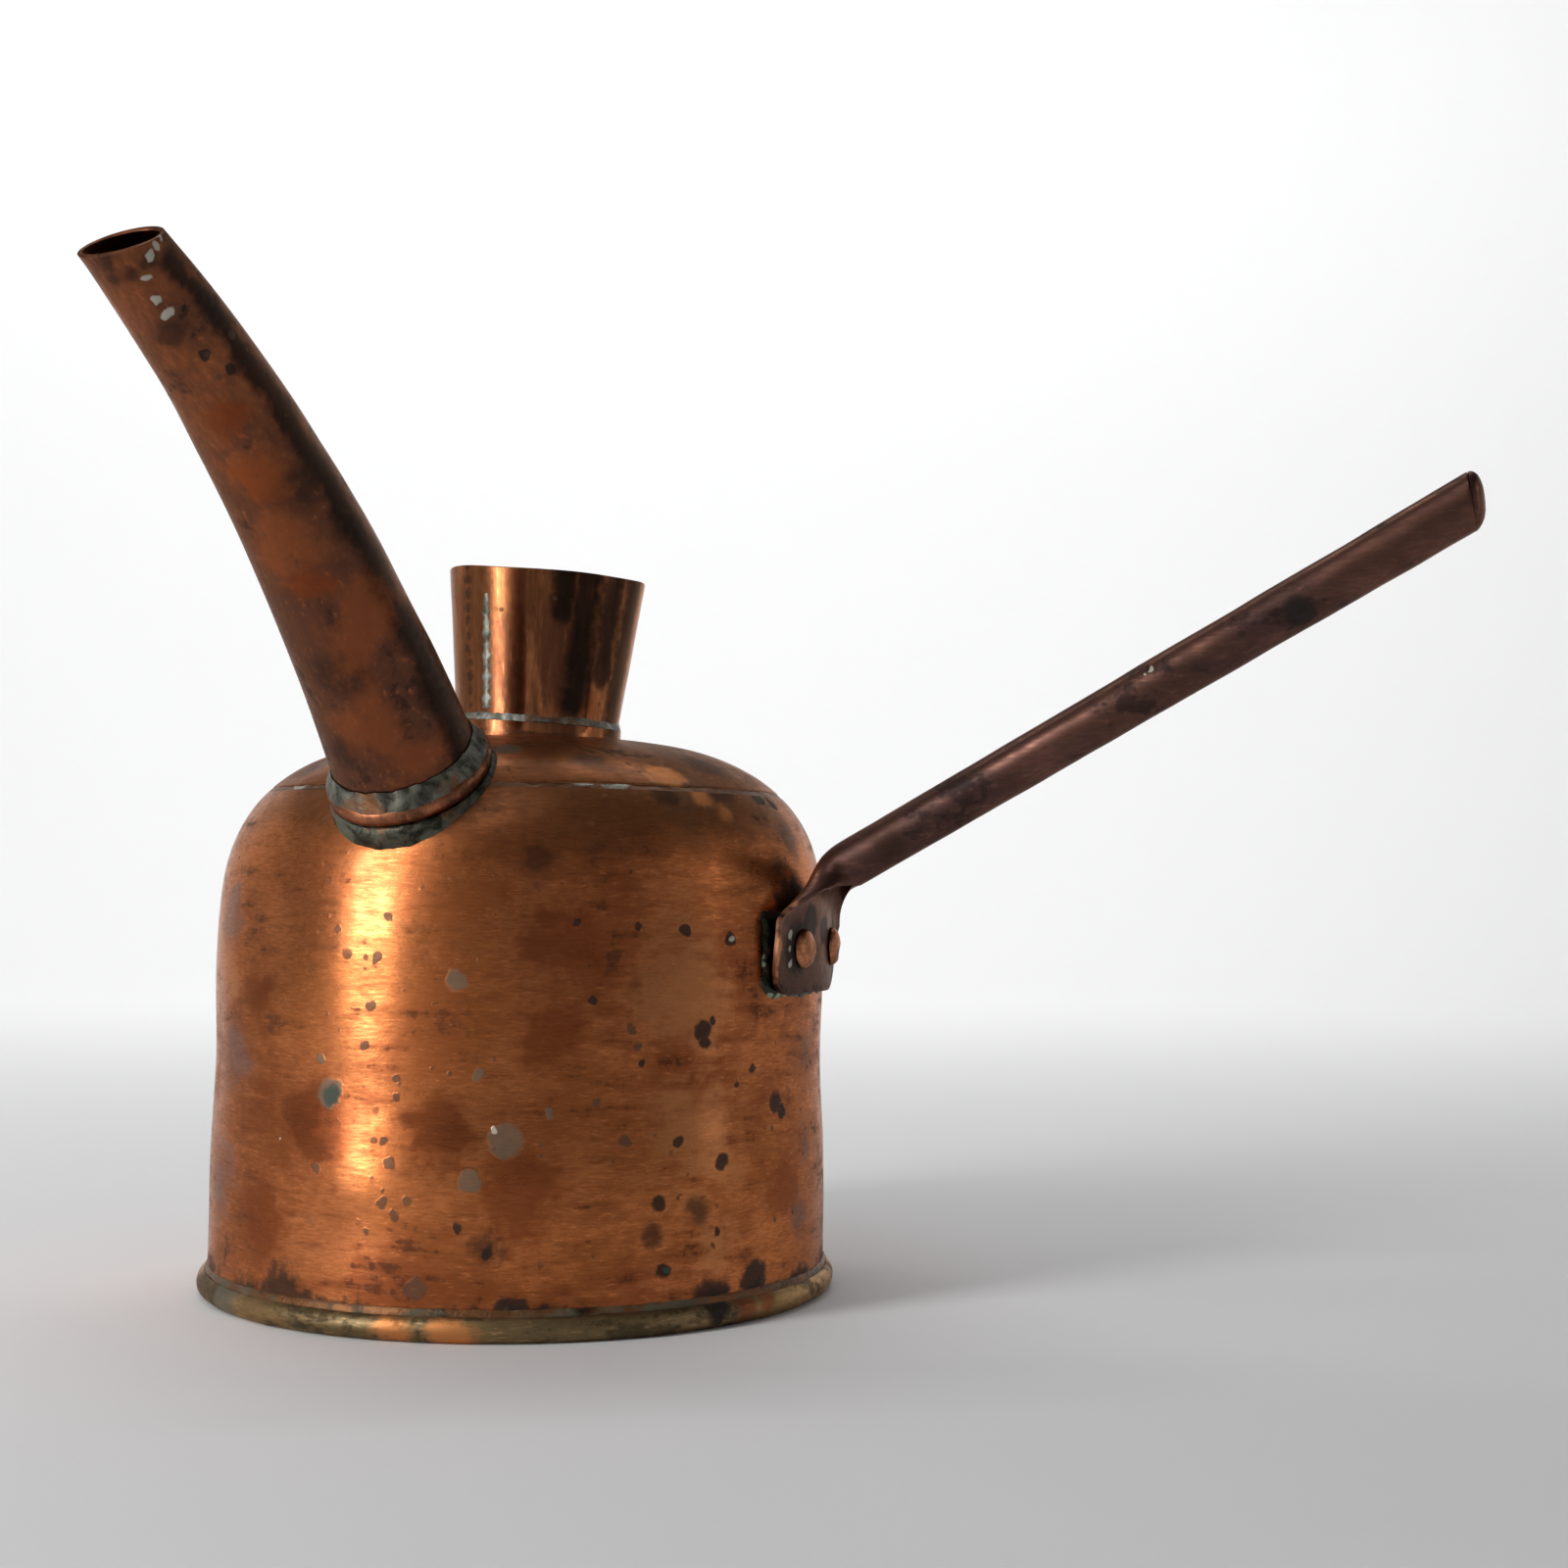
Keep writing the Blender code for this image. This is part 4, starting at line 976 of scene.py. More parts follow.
        inner, outer = self.parameter(self.seam + 0.0001), self.parameter(self.seam + self.groove - 0.0001)
        outline = self.arc(inner, outer, 6, 0.00025) + list(reversed(self.arc(inner, outer, 3, self.sheet)))
        bead = Bench("crown-seam-solder").turned(outline, 360, loop=True).pushed(self.lean)
        bead.lumped(0.045, 0.00045, 1).lumped(0.004, 0.0004)
        bead.pierced(self.spout_tool(spout))
        bare = [on_wall(azimuth, 164, size, reach=82.0) for azimuth, size in
                ((37, 5.0), (44, 6.0), (-32, 5.0), (150, 7.0), (230, 5.0))]
        tin = TinSolder("crown seam tin", green=0.1, copper=1.9, bright=(0.12, 0.085, 0.045), pale=bare)
        bead.done(tin.material(), Slot.BRIGHT_SOLDER, "crown_solder")

    def build_foot(self) -> None:
        """Build the bottom plate with its rolled bead, and the solder above the bead."""
        outline = [(0.0, 0.0), (0.05, 0.0)]
        outline += self.rolled(self.bead, 26)
        outline += list(reversed(self.rolled(self.bead - self.sheet, 14)))
        outline += [(0.05, self.sheet), (0.0, self.sheet)]
        foot = Bench("can-bottom").turned(outline, self.facets).lumped(0.02, 0.00025, 1)
        # The bottom's lighter, yellower copper is partly its brassy tone and partly painted light from the
        # floor.
        copper = AgedCopper("bottom copper", clean=(0.50, 0.30, 0.14), skin=(0.17, 0.125, 0.062),
                            dark=(0.03, 0.024, 0.016), tarnish=0.6, blotches=0.9, gloss=0.28, dull=0.5,
                            marks=self.rust)
        foot.done(copper.material(), Slot.BODY, "bottom_plate")

        inner = self.foot + 0.0001
        outline = [(inner, 0.0068), (inner + 0.0008, 0.0074), (inner + 0.0007, 0.0088), (inner, 0.0097)]
        line = Bench("foot-solder").turned(outline, 400, loop=True).lumped(0.005, 0.0004)
        tin = TinSolder("foot seam tin", green=0.45, copper=1.0, skin=(0.085, 0.080, 0.045),
                        bright=(0.10, 0.075, 0.045), dull=(0.03, 0.022, 0.015))
        line.done(tin.material(), Slot.GREEN_SOLDER, "base_solder")

    def rolled(self, radius: float, steps: int) -> list[tuple[float, float]]:
        """Return the section of the rolled bead, from its underside to its lip."""
        start = -math.pi / 2
        points = []
        for step in range(steps + 1):
            angle = start + (self.lip_angle - start) * step / steps
            points.append((self.bead_centre + radius * math.cos(angle), self.bead + radius * math.sin(angle)))
        return points


@dataclass
class Spout:
    """Bent, tapering spout with its collar and solder; sizes in metres."""

    sheet: float = 0.0012
    root: Vector = field(default_factory=lambda: Vector((0.0, -0.0804, 0.1641)))
    bend: Vector = field(default_factory=lambda: Vector((0.0, -0.1491, 0.2463)))
    tip: Vector = field(default_factory=lambda: Vector((0.0, -0.2295, 0.2854)))
    root_radius: float = 0.0223
    tip_radius: float = 0.0100
    mouth_tilt: float = math.radians(30.0)
    collar_depth: float = 0.0032
    collar_width: float = 0.0055
    fillet: float = 0.0056
    seam_width: float = 0.0016
    inside: float = 0.012
    spare: float = 0.009

    def point(self, share: float) -> Vector:
        """Return a point of the centre line."""
        back = 1.0 - share
        return self.root * back * back + self.bend * 2 * back * share + self.tip * share * share

    def heading(self, share: float) -> Vector:
        """Return the unit direction of the centre line."""
        return ((self.bend - self.root) * (1.0 - share) + (self.tip - self.bend) * share).normalized()

    def upper(self, share: float) -> Vector:
        """Return the direction from the centre line to the spout's upper side."""
        direction = Vector((1.0, 0.0, 0.0)).cross(self.heading(share))
        return direction if direction.z > 0.0 else -direction

    def radius(self, share: float) -> float:
        """Return the outside radius at a share of the length."""
        return self.root_radius + (self.tip_radius - self.root_radius) * share

    def dents(self, point: Vector) -> Vector:
        """Return the small knocks that the spout has taken."""
        knocks = ((Vector((0.012, -0.112, 0.21)), 0.022, 0.0005),
                  (Vector((-0.01, -0.19, 0.262)), 0.02, 0.0004),
                  (Vector((0.014, -0.16, 0.245)), 0.016, 0.0004),
                  (Vector((-0.02, -0.10, 0.19)), 0.018, 0.0005))
        move = Vector((0.0, 0.0, 0.0))
        for centre, reach, depth in knocks:
            move.x -= math.copysign(depth, centre.x) * softly((point - centre).length / reach)
        return move

    def mark(self, share: float, angle: float, radius: float, kind: Stain = Stain.BLACK) -> Mark:
        """Return a mark on the spout, by a share of its length and an angle from its handle side."""
        turn = math.radians(angle)
        out = Vector((math.cos(turn), 0.0, 0.0)) + self.upper(share) * math.sin(turn)
        return Mark(tuple(self.point(share) + out * self.radius(share)), radius, kind)

    def marks(self) -> list[Mark]:
        """Return the stains on the tube, a band of painted shade on its handle side and the crust at its tip.
        """
        steps = 54
        # Painted shade: the band is a dark reflection laid along the handle side.
        band = [self.mark(0.05 + 0.93 * step / steps, -2.0 + 3.0 * math.sin(step * 0.7),
                          (430.0 + 60.0 * math.sin(step * 1.1)) * self.radius(step / steps), Stain.SHADE)
                for step in range(steps)]
        crust = [self.mark(0.995, angle, 1.3, Stain.PALE) for angle in (-25.0, -8.0, 12.0, 40.0, 75.0, 120.0)]
        sooty = [self.mark(0.99, angle, 3.0, Stain.UMBER) for angle in (-60.0, -85.0, -30.0, 180.0, 220.0)]
        spots = {
            Stain.BLACK: ((0.825, -47, 1.6), (0.782, -28, 2.2), (0.90, -34, 1.1)),
            Stain.PALE: ((0.97, -48, 1.3), (0.937, -53, 1.5), (0.91, -54, 1.6)),
            Stain.UMBER: ((0.88, -60, 5.0), (0.118, -105, 9.0), (0.569, -35, 8.0), (0.25, -80, 9.0),
                (0.55, 150, 9.0)),
            Stain.ORANGE: ((0.486, -77, 12.0), (0.321, -44, 12.0), (0.165, -69, 15.0), (0.62, -60, 9.0),
                (0.10, -45, 10.0)),
            Stain.RED: ((0.607, -66, 7.0), (0.72, -62, 7.0), (0.42, -70, 7.0), (0.75, 200, 7.0)),
            Stain.TAN: ((0.3, 170, 10.0),),
        }
        single = [self.mark(*spot, kind) for kind, places in spots.items() for spot in places]
        return band + crust + sooty + single

    def copper(self, name: str, **changes: object) -> bpy.types.Material:
        """Mix the spout's browner copper."""
        settings = dict(clean=(0.33, 0.105, 0.042), skin=(0.115, 0.046, 0.027), dark=(0.024, 0.016, 0.012),
                        tarnish=0.7, blotches=0.75, specks=0.26, gloss=0.28, dull=0.44,
                        wipe_turn=(math.radians(40.0), 0.0, 0.0), wipe_scale=(110.0, 30.0, 60.0))
        settings.update(changes)
        return AgedCopper(name, **settings).material()

    def build(self) -> None:
        """Build every piece of the spout."""
        self.build_tube()
        self.build_collar()
        self.build_seam()

    def build_tube(self) -> None:
        """Build the bent tube, sawn off at its mouth."""
        first, last = self.heading(0.0), self.heading(1.0)
        start = self.root - first * self.inside
        tail = self.tip + last * self.spare
        third, spare = self.inside / 3.0, last * self.spare / 3.0
        after_root = self.root.lerp(self.bend, 2.0 / 3.0)
        before_tip = self.tip.lerp(self.bend, 2.0 / 3.0)
        ends = [(start, start - first * third, start + first * third, self.root_radius),
                (self.root, self.root - first * third, after_root, self.root_radius),
                (self.tip, before_tip, self.tip + spare, self.tip_radius),
                (tail, tail - spare, tail, self.tip_radius - 0.0003)]
        tube = Bench("spout-tube").piped(ends, 96, 60)
        slant = (last + self.upper(1.0) * math.tan(self.mouth_tilt)).normalized()
        tube.sawn(self.tip, slant).pushed(self.dents).thickened(self.sheet, 0.00035).lumped(0.03, 0.0002, 1)
        tube.done(self.copper("spout copper", marks=self.marks()), Slot.SPOUT, "spout_tube", angle=45.0)

    def build_collar(self) -> None:
        """Build the collar round the root, with the solder above and below it."""
        inner = self.root_radius + 0.0001
        outline = [(inner, 0.0)]
        for step in range(13):
            angle = math.pi * (step / 12 - 0.5)
            outline.append((inner + self.collar_depth * (0.35 + 0.65 * math.cos(angle)),
                            self.collar_width * (0.5 + 0.5 * math.sin(angle))))
        outline.append((inner, self.collar_width))
        place = placing(self.root, self.heading(0.0))
        collar = Bench("spout-collar").turned(outline, 128, loop=True).lumped(0.012, 0.0003, 1).placed(place)
        collar.done(self.copper("spout collar copper", clean=(0.55, 0.20, 0.09), tarnish=0.5), Slot.BODY,
                    "spout_collar")

        foot = self.collar_width - 0.0004
        outline = [(inner - 0.0003, foot), (inner + 0.0025, foot - 0.0004), (inner + 0.0019, foot + 0.0010),
                   (inner + 0.0010, foot + 0.0024), (inner + 0.0004, foot + 0.0040),
                   (inner - 0.0003, foot + self.fillet)]
        fillet = Bench("spout-upper-solder").turned(outline, 200, loop=True).lumped(0.004, 0.0007)
        fillet.placed(place)
        tin = TinSolder("spout fillet tin", green=0.25, copper=0.3, bright=(0.20, 0.195, 0.155),
                        skin=(0.085, 0.095, 0.065), dull=(0.032, 0.031, 0.023))
        fillet.done(tin.material(), Slot.BRIGHT_SOLDER, "spout_upper_solder")

        rim = inner + self.collar_depth
        outline = [(inner, 0.0002), (rim - 0.0002, 0.0002), (rim + 0.0004, -0.0015), (rim + 0.0012, -0.0045),
                   (rim + 0.0012, -0.0130), (inner, -0.0130)]
        saddle = Bench("spout-root-solder").turned(outline, 200, loop=True).modified(
            "SUBSURF", levels=1, render_levels=1).lumped(0.005, 0.0006).placed(place)
        tin = TinSolder("spout root tin", green=0.35, copper=0.4, bright=(0.13, 0.125, 0.09),
                        dull=(0.02, 0.020, 0.014), skin=(0.070, 0.085, 0.055))
        saddle.done(tin.material(), Slot.GREEN_SOLDER, "spout_root_solder")

    def build_seam(self) -> None:
        """Build the ridge of solder along the lap on the upper side."""
        low, high = 0.055, 0.93

        def ridge(across: float, along: float) -> Vector:
            """Return a point of the ridge."""
            share = low + (high - low) * along
            wavy = 1.0 + 0.25 * math.sin(along * 37.0) + 0.15 * math.sin(along * 91.0 + 1.0)
            turn = (across - 0.5) * 2.0 * self.seam_width * wavy / self.radius(share)
            height = 0.0006 * math.cos((across - 0.5) * math.pi) - 0.0002
            radius = self.radius(share) + height
            sideways = Vector((1.0, 0.0, 0.0)) * radius * math.sin(turn)
            return self.point(share) + sideways + self.upper(share) * radius * math.cos(turn)

        seam = Bench("spout-seam-solder").wrapped(10, 220, ridge).thickened(0.0004).lumped(0.003, 0.00015)
        seam.done(TinSolder("spout seam tin", green=0.2, copper=0.9).material(), Slot.BRIGHT_SOLDER,
                  "spout_seam_solder")


@dataclass
class Filler:
    """Filling cone with its collar and solder; sizes in metres."""

    offset: float = 0.0032
    lean: float = math.radians(3.6)
    crown_top: float = 0.1813
    root_radius: float = 0.0266
    rim_radius: float = 0.0328
    height: float = 0.0538
    sheet: float = 0.0010
    collar_height: float = 0.0042
    seam_angle: float = math.radians(-102.0)

    def stand(self) -> Matrix:
        """Return the matrix of the filler's own frame."""
        axis = Vector((math.sin(self.lean), 0.0, math.cos(self.lean)))
        quarter = Matrix.Rotation(-math.pi / 2, 4, "Z")
        return placing(Vector((self.offset, 0.0, self.crown_top)), axis) @ quarter

    def radius(self, height: float) -> float:
        """Return the outside radius at a height above the crown."""
        return self.root_radius + (self.rim_radius - self.root_radius) * height / self.height

    def streak(self, azimuth: float, low: float, high: float, radius: float, kind: Stain) -> list[Mark]:
        """Return an upright run of marks, from one height above the crown to another, all in millimetres."""
        turn = math.radians(azimuth)
        marks = []
        for step in range(13):
            height = (low + (high - low) * step / 12) * MILLIMETRE
            reach = self.radius(height)
            place = self.stand() @ Vector((reach * math.sin(turn), -reach * math.cos(turn), height))
            marks.append(Mark(tuple(place), radius, kind))
        return marks

    def copper(self, name: str) -> bpy.types.Material:
        """Mix the filler's copper, with upright streaks of painted reflection."""
        # Painted reflection: the shade and umber streaks are dark reflections, the low orange streak the
        # crown's reflection in the cone.
        marks = (self.streak(50, 12, 54, 8.0, Stain.SHADE) + self.streak(68, 22, 54, 7.0, Stain.SHADE)
                 + self.streak(88, 2, 54, 8.0, Stain.SHADE) + self.streak(36, 40, 54, 6.0, Stain.SHADE)
                 + self.streak(-28, 0, 54, 2.4, Stain.UMBER) + self.streak(62, 3, 12, 3.5, Stain.ORANGE))
        return AgedCopper(name, clean=(0.60, 0.22, 0.088), skin=(0.12, 0.040, 0.018),
                          dark=(0.02, 0.010, 0.008), tarnish=0.62, blotches=0.3, specks=0.1, gloss=0.13,
                          dull=0.24, wipe_scale=(75.0, 75.0, 7.0), wipe_weight=0.6, marks=marks).material()

    def build(self) -> None:
        """Build every piece of the filler."""
        self.build_cone()
        self.build_collar()
        self.build_seam()

    def build_cone(self) -> None:
        """Build the flared neck."""
        def uneven(point: Vector) -> Vector:
            """Return the waviness of the hand-cut rim."""
            turn = math.atan2(point.y, point.x)
            rise = max(0.0, point.z) / self.height
            wave = 0.0004 * math.sin(2.0 * turn + 0.6) + 0.0002 * math.sin(5.0 * turn)
            out = Vector((point.x, point.y, 0.0)).normalized() * rise * 0.0003 * math.sin(3.0 * turn + 1.0)
            return Vector((0.0, 0.0, wave * rise * rise)) + out

        outline = [(self.radius(height), height) for height in
                   [-0.0035 + (self.height + 0.0035) * step / 24 for step in range(25)]]
        cone = Bench("filler-cone").turned(outline, 160).pushed(uneven).thickened(self.sheet, 0.0003)
        cone.lumped(0.03, 0.0002, 1).placed(self.stand())
        cone.done(self.copper("filler copper"), Slot.FILLER, "filler_cone", angle=45.0)

    def build_collar(self) -> None:
        """Build the collar on the crown and the solder above it."""
        inner = self.radius(self.collar_height) + 0.0001
        outer = inner + 0.0012
        outline = [(inner, -0.0040), (outer + 0.0010, -0.0040), (outer + 0.0006, -0.0004), (outer, 0.0006),
                   (outer, self.collar_height - 0.0002), (outer - 0.0003, self.collar_height),
                   (inner, self.collar_height)]
        collar = Bench("filler-collar").turned(outline, 144, loop=True).lumped(0.012, 0.0002, 1)
        collar.placed(self.stand())
        collar.done(self.copper("filler collar copper"), Slot.FILLER, "filler_collar", angle=35.0)

        foot = self.collar_height - 0.0002
        outline = [(inner - 0.0003, foot), (outer - 0.0002, foot), (outer - 0.0005, foot + 0.0010),
                   (inner + 0.0002, foot + 0.0024), (inner - 0.0002, foot + 0.0034)]
        fillet = Bench("filler-fillet-solder").turned(outline, 200, loop=True).lumped(0.004, 0.0005)
        fillet.placed(self.stand()).done(TinSolder("filler fillet tin", green=0.2, copper=0.3).material(),
                                         Slot.BRIGHT_SOLDER, "filler_solder")

    def build_seam(self) -> None:
        """Build the solder along the lap."""
        def ridge(across: float, along: float) -> Vector:
            """Return a point of the lap's solder."""
            height = 0.0078 + (self.height - 0.0090) * along - 0.0078 * along
            half = 0.0018 + 0.0003 * math.sin(along * 31.0) + 0.0003 * math.sin(along * 67.0 + 2.0)
            radius = self.radius(height) + 0.00055 * math.cos((across - 0.5) * math.pi) - 0.0001
            turn = self.seam_angle + (across - 0.5) * 2.0 * half / radius
            return Vector((radius * math.cos(turn), radius * math.sin(turn), height))

        seam = Bench("filler-seam-solder").wrapped(10, 90, ridge).thickened(0.0004).lumped(0.003, 0.00015)
        seam.placed(self.stand()).done(TinSolder("filler seam tin", green=0.3, copper=0.2).material(),
                                       Slot.BRIGHT_SOLDER, "filler_seam_solder")


@dataclass
class Handle:
    """Tube handle whose slit, opened end is the riveted palm; sizes in metres."""

    sheet: float = 0.0016
    palm_middle: float = 0.1026
    rivet_height: float = 0.1125
    foot_rise: float = 0.0283
    back_length: float = 0.2280
    slope: float = math.radians(29.6)
    end_radius: float = 0.00825
    neck_radius: float = 0.0077
    end_tilt: float = math.radians(21.0)
    cap_bulge: float = 0.0038
    palm_half: float = 0.0305
    palm_drop: float = 0.0140
    flat_rise: float = 0.0065
    bend_length: float = 0.0100
    bend_drop: float = 0.0120
    front_corner: float = 0.0075
    rear_corner: float = 0.0165
    open_share: float = 0.2
    opens_at: float = 0.718
    raised_edge: float = 0.0025
    sag: float = 0.0130
    pad_margin: float = 0.0014
    pad_rise: float = 0.0125
    rivet_turns: tuple[float, float] = (math.radians(-7.0), math.radians(11.0))
    marks: Sequence[Mark] = (
        Mark((0.2553, -0.0072, 0.2149), 6.5), Mark((0.2114, -0.0069, 0.1989), 1.1, Stain.PALE),
        Mark((0.2095, -0.0069, 0.1980), 0.9, Stain.PALE), Mark((0.1285, -0.0077, 0.1461), 9.0, Stain.UMBER),
        Mark((0.1900, 0.0050, 0.1900), 16.0, Stain.UMBER), Mark((0.1500, 0.0000, 0.1680), 12.0, Stain.UMBER),
    )
    pad_depth: float = 0.0031
    rivet_head: float = 0.0063
    rivet_rise: float = 0.0032
    shank_radius: float = 0.0030
    tail_radius: float = 0.0046
    wall_radius: float = 0.0996
    wall_sheet: float = 0.0012
    rove_depth: float = 0.0030

    @property
    def along(self) -> Vector:
        """Return the unit direction from the palm to the end."""
        return Vector((math.cos(self.slope), 0.0, math.sin(self.slope)))

    @property
    def foot(self) -> Vector:
        """Return where the handle's back line meets the wall."""
        return Vector((self.palm_middle, 0.0, self.rivet_height + self.foot_rise))

    @property
    def bottom(self) -> float:
        """Return the height of the palm's lower edge."""
        return self.rivet_height - self.palm_drop

    def corner_lift(self, across: float, half: float) -> float:
        """Return how far a rounded corner lifts the lower edge at -1 to 1 across."""
        corner = self.front_corner if across < 0.0 else self.rear_corner
        past = min(1.0, max(0.0, (abs(across) - 1.0 + corner / half) * half / corner))
        return corner * (1.0 - math.sqrt(max(0.0, 1.0 - past * past)))

    def round_point(self, back_point: Vector, along: Vector, radius: float, turn: float,
                    tilt: float) -> Vector:
        """Return a point of the round tube, by its place on the back line."""
        back = Vector((-along.z, 0.0, along.x))
        lift = radius * math.cos(turn)
        return (back_point - back * radius + back * lift + Vector((0.0, radius * math.sin(turn), 0.0))
                + along * lift * math.tan(tilt))

    def flat_point(self, share: float, height: float) -> Vector:
        """Return a point of the flat palm, by a share from -1 to 1 across the slit tube."""
        across = share / (1.0 - self.open_share)
        flat_top = self.rivet_height + self.flat_rise
        fade = max(0.0, (flat_top - height) / (flat_top - self.bottom))
        turn = across * self.palm_half / self.palm_middle
        lift = self.corner_lift(max(-1.0, min(1.0, across)), self.palm_half) * fade
        radius = self.palm_middle + self.raised_edge * min(1.0, abs(across)) ** 5 * (1.0 - 0.6 * fade)
        return Vector((radius * math.cos(turn), radius * math.sin(turn), height + lift))

    def track(self, along_share: float) -> tuple[Vector, Vector, float]:
        """Return the back line's point, its direction and the tube's radius.

        Args:
            along_share: 0 at the far end, 1 at the palm's lower edge.

        Returns:
            The point, the unit direction towards the far end, and the radius.
        """
        along = self.along
        start = self.foot + along * self.bend_length
        finish = self.foot - Vector((0.0, 0.0, self.bend_drop))
        neck = self.neck_radius - self.sheet / 2
        end = self.end_radius - self.sheet / 2
        if along_share < 0.72:
            share = along_share / 0.72
            point = (self.foot + along * self.back_length).lerp(start, share)
            return point, along, end + (neck - end) * share
        if along_share < 0.82:
            share = (along_share - 0.72) / 0.10
            back = 1.0 - share
            point = start * back * back + self.foot * 2 * back * share + finish * share * share
            heading = (start - self.foot) * back + (self.foot - finish) * share
            return point, heading.normalized(), neck
        share = (along_share - 0.82) / 0.18
        height = finish.z + (self.bottom - finish.z) * share
        return Vector((self.palm_middle, 0.0, height)), Vector((0.0, 0.0, 1.0)), neck

    def skin(self, across: float, along: float) -> Vector:
        """Return a point of the sheet that is rolled into the handle."""
        point, heading, radius = self.track(along)
        opened, _, _ = self.track(self.opens_at)
        progress = (opened.z - point.z) / (opened.z - self.rivet_height - self.flat_rise)
        progress = min(1.0, max(0.0, progress))
        slit = min(1.0, progress / 0.4)
        share = (2.0 * across - 1.0) * (1.0 - self.open_share * slit * slit * (3.0 - 2.0 * slit))
        tilt = self.end_tilt * max(0.0, 1.0 - along / 0.12)
        ring = self.round_point(point, heading, radius, math.pi * share, tilt)
        spread = 1.0 - (1.0 - progress * progress) ** 4
        sagging = self.sag * (2.0 * across - 1.0) ** 2 * (1.0 - progress)
        return ring.lerp(self.flat_point(share, point.z - sagging), spread) if spread > 0.0 else ring

    def palm_mark(self, across: float, height: float, radius: float, kind: Stain = Stain.BLACK) -> Mark:
        """Return a mark on the palm, by a share from -1 to 1 across it and a height."""
        turn = across * self.palm_half / self.palm_middle
        reach = self.palm_middle + self.sheet / 2
        return Mark((reach * math.cos(turn), reach * math.sin(turn), height), radius, kind)

    def copper(self, name: str, **changes: object) -> bpy.types.Material:
        """Mix the handle's dark, handled copper."""
        settings = dict(clean=(0.175, 0.078, 0.058), skin=(0.075, 0.038, 0.032), dark=(0.014, 0.011, 0.012),
                        tarnish=0.7, blotches=0.6, specks=0.16, gloss=0.3, dull=0.45,
                        wipe_turn=(0.0, self.slope, 0.0), wipe_scale=(14.0, 150.0, 150.0))
        settings.update(changes)
        return AgedCopper(name, **settings).material()

    def build(self) -> None:
        """Build the tube, its cap, the solder bed and the rivets."""
        self.build_tube()
        self.build_cap()
        self.build_bed()
        for seed, (label, turn) in enumerate(zip(("front", "rear"), self.rivet_turns)):
            self.build_rivet(label, turn, seed)

    def build_tube(self) -> None:
        """Build the tube and the palm in one sheet."""
        tube = Bench("handle-tube").wrapped(56, 260, self.skin)
        tube.modified("SOLIDIFY", thickness=self.sheet, offset=0.0, use_even_offset=True)
        tube.modified("BEVEL", width=0.0005, segments=2, limit_method="ANGLE", angle_limit=math.radians(60))
        tube.lumped(0.02, 0.0002, 1)
        # Painted highlight: the bright marks along the palm's front edge and across its top stand for light
        # on its rolled edge.
        edge = [self.palm_mark(-1.0, 0.100 + 0.0025 * step, 2.6, Stain.EDGE) for step in range(10)]
        edge += [self.palm_mark(-0.92 + 0.12 * step, 0.1250 + 0.0022 * step, 3.2, Stain.EDGE)
                 for step in range(7)]
        recess = [self.palm_mark(-0.55, self.rivet_height, 9.5), self.palm_mark(-0.2, 0.121, 6.0),
                  self.palm_mark(0.25, 0.118, 5.0), self.palm_mark(-0.70, 0.1170, 1.5, Stain.PALE),
                  self.palm_mark(-0.73, 0.1130, 1.2, Stain.PALE),
                  self.palm_mark(-0.70, 0.1085, 1.4, Stain.PALE),
                  self.palm_mark(-0.35, 0.1195, 1.5, Stain.SLATE)]
        copper = self.copper("handle copper", marks=list(self.marks) + edge + recess)
        tube.done(copper, Slot.HANDLE, "handle_tube", angle=50.0)

    def build_cap(self) -> None:
        """Build the domed cap in the tube's end."""
        radius = self.end_radius
        dome = [(0.0, 1.0), (0.28, 0.97), (0.52, 0.87), (0.72, 0.70), (0.87, 0.46), (0.96, 0.20),
                (0.985, 0.0), (0.93, -0.12)]
        outline = [(radius * share, self.cap_bulge * rise + 0.0003) for share, rise in dome]
        plug = radius - self.sheet - 0.0003
        outline += [(plug, -0.0002), (plug, -0.004), (0.0, -0.004)]

        back = Vector((-self.along.z, 0.0, self.along.x))
        end = self.foot + self.along * self.back_length - back * (self.end_radius - self.sheet / 2)

        def slanted(point: Vector) -> Vector:
            """Return the move that slants the cap as the tube's end is."""
            return Vector((0.0, 0.0, -point.y * math.tan(self.end_tilt)))

        cap = Bench("handle-end-cap").turned(outline, 64).pushed(slanted).lumped(0.008, 0.0002, 1)
        turn = Matrix((Vector((0.0, 1.0, 0.0)), -back, self.along)).transposed()
        cap.placed(Matrix.Translation(end) @ turn.to_4x4())
        cap.done(self.copper("handle cap copper", blotches=0.8), Slot.HANDLE, "handle_end_cap")

    def build_bed(self) -> None:
        """Build the solder between the palm and the wall, darkened by painted shadow."""
        inner = self.palm_middle - self.pad_depth + 0.0004
        half = self.palm_half + self.pad_margin
        top = self.rivet_height + self.pad_rise

        def bed(across: float, along: float) -> Vector:
            """Return a point of the solder bed's outer face."""
            place = 2.0 * across - 1.0
            ragged = 0.0003 * math.sin(place * 9.0) + 0.0002 * math.sin(place * 23.0 + 2.0)
            low = self.bottom - self.pad_margin + ragged + self.corner_lift(place, half)
            height = low + (top - low) * along
            turn = place * (half + 0.0004 * math.sin(along * 23.0)) / inner
            edge = min(across * 2.0 * half, (1.0 - across) * 2.0 * half, along * (top - low),
                       (1.0 - along) * 0.02)
            radius = inner - 0.0003 + 0.0018 * min(1.0, edge / 0.0028) ** 0.7
            return Vector((radius * math.cos(turn), radius * math.sin(turn), height))

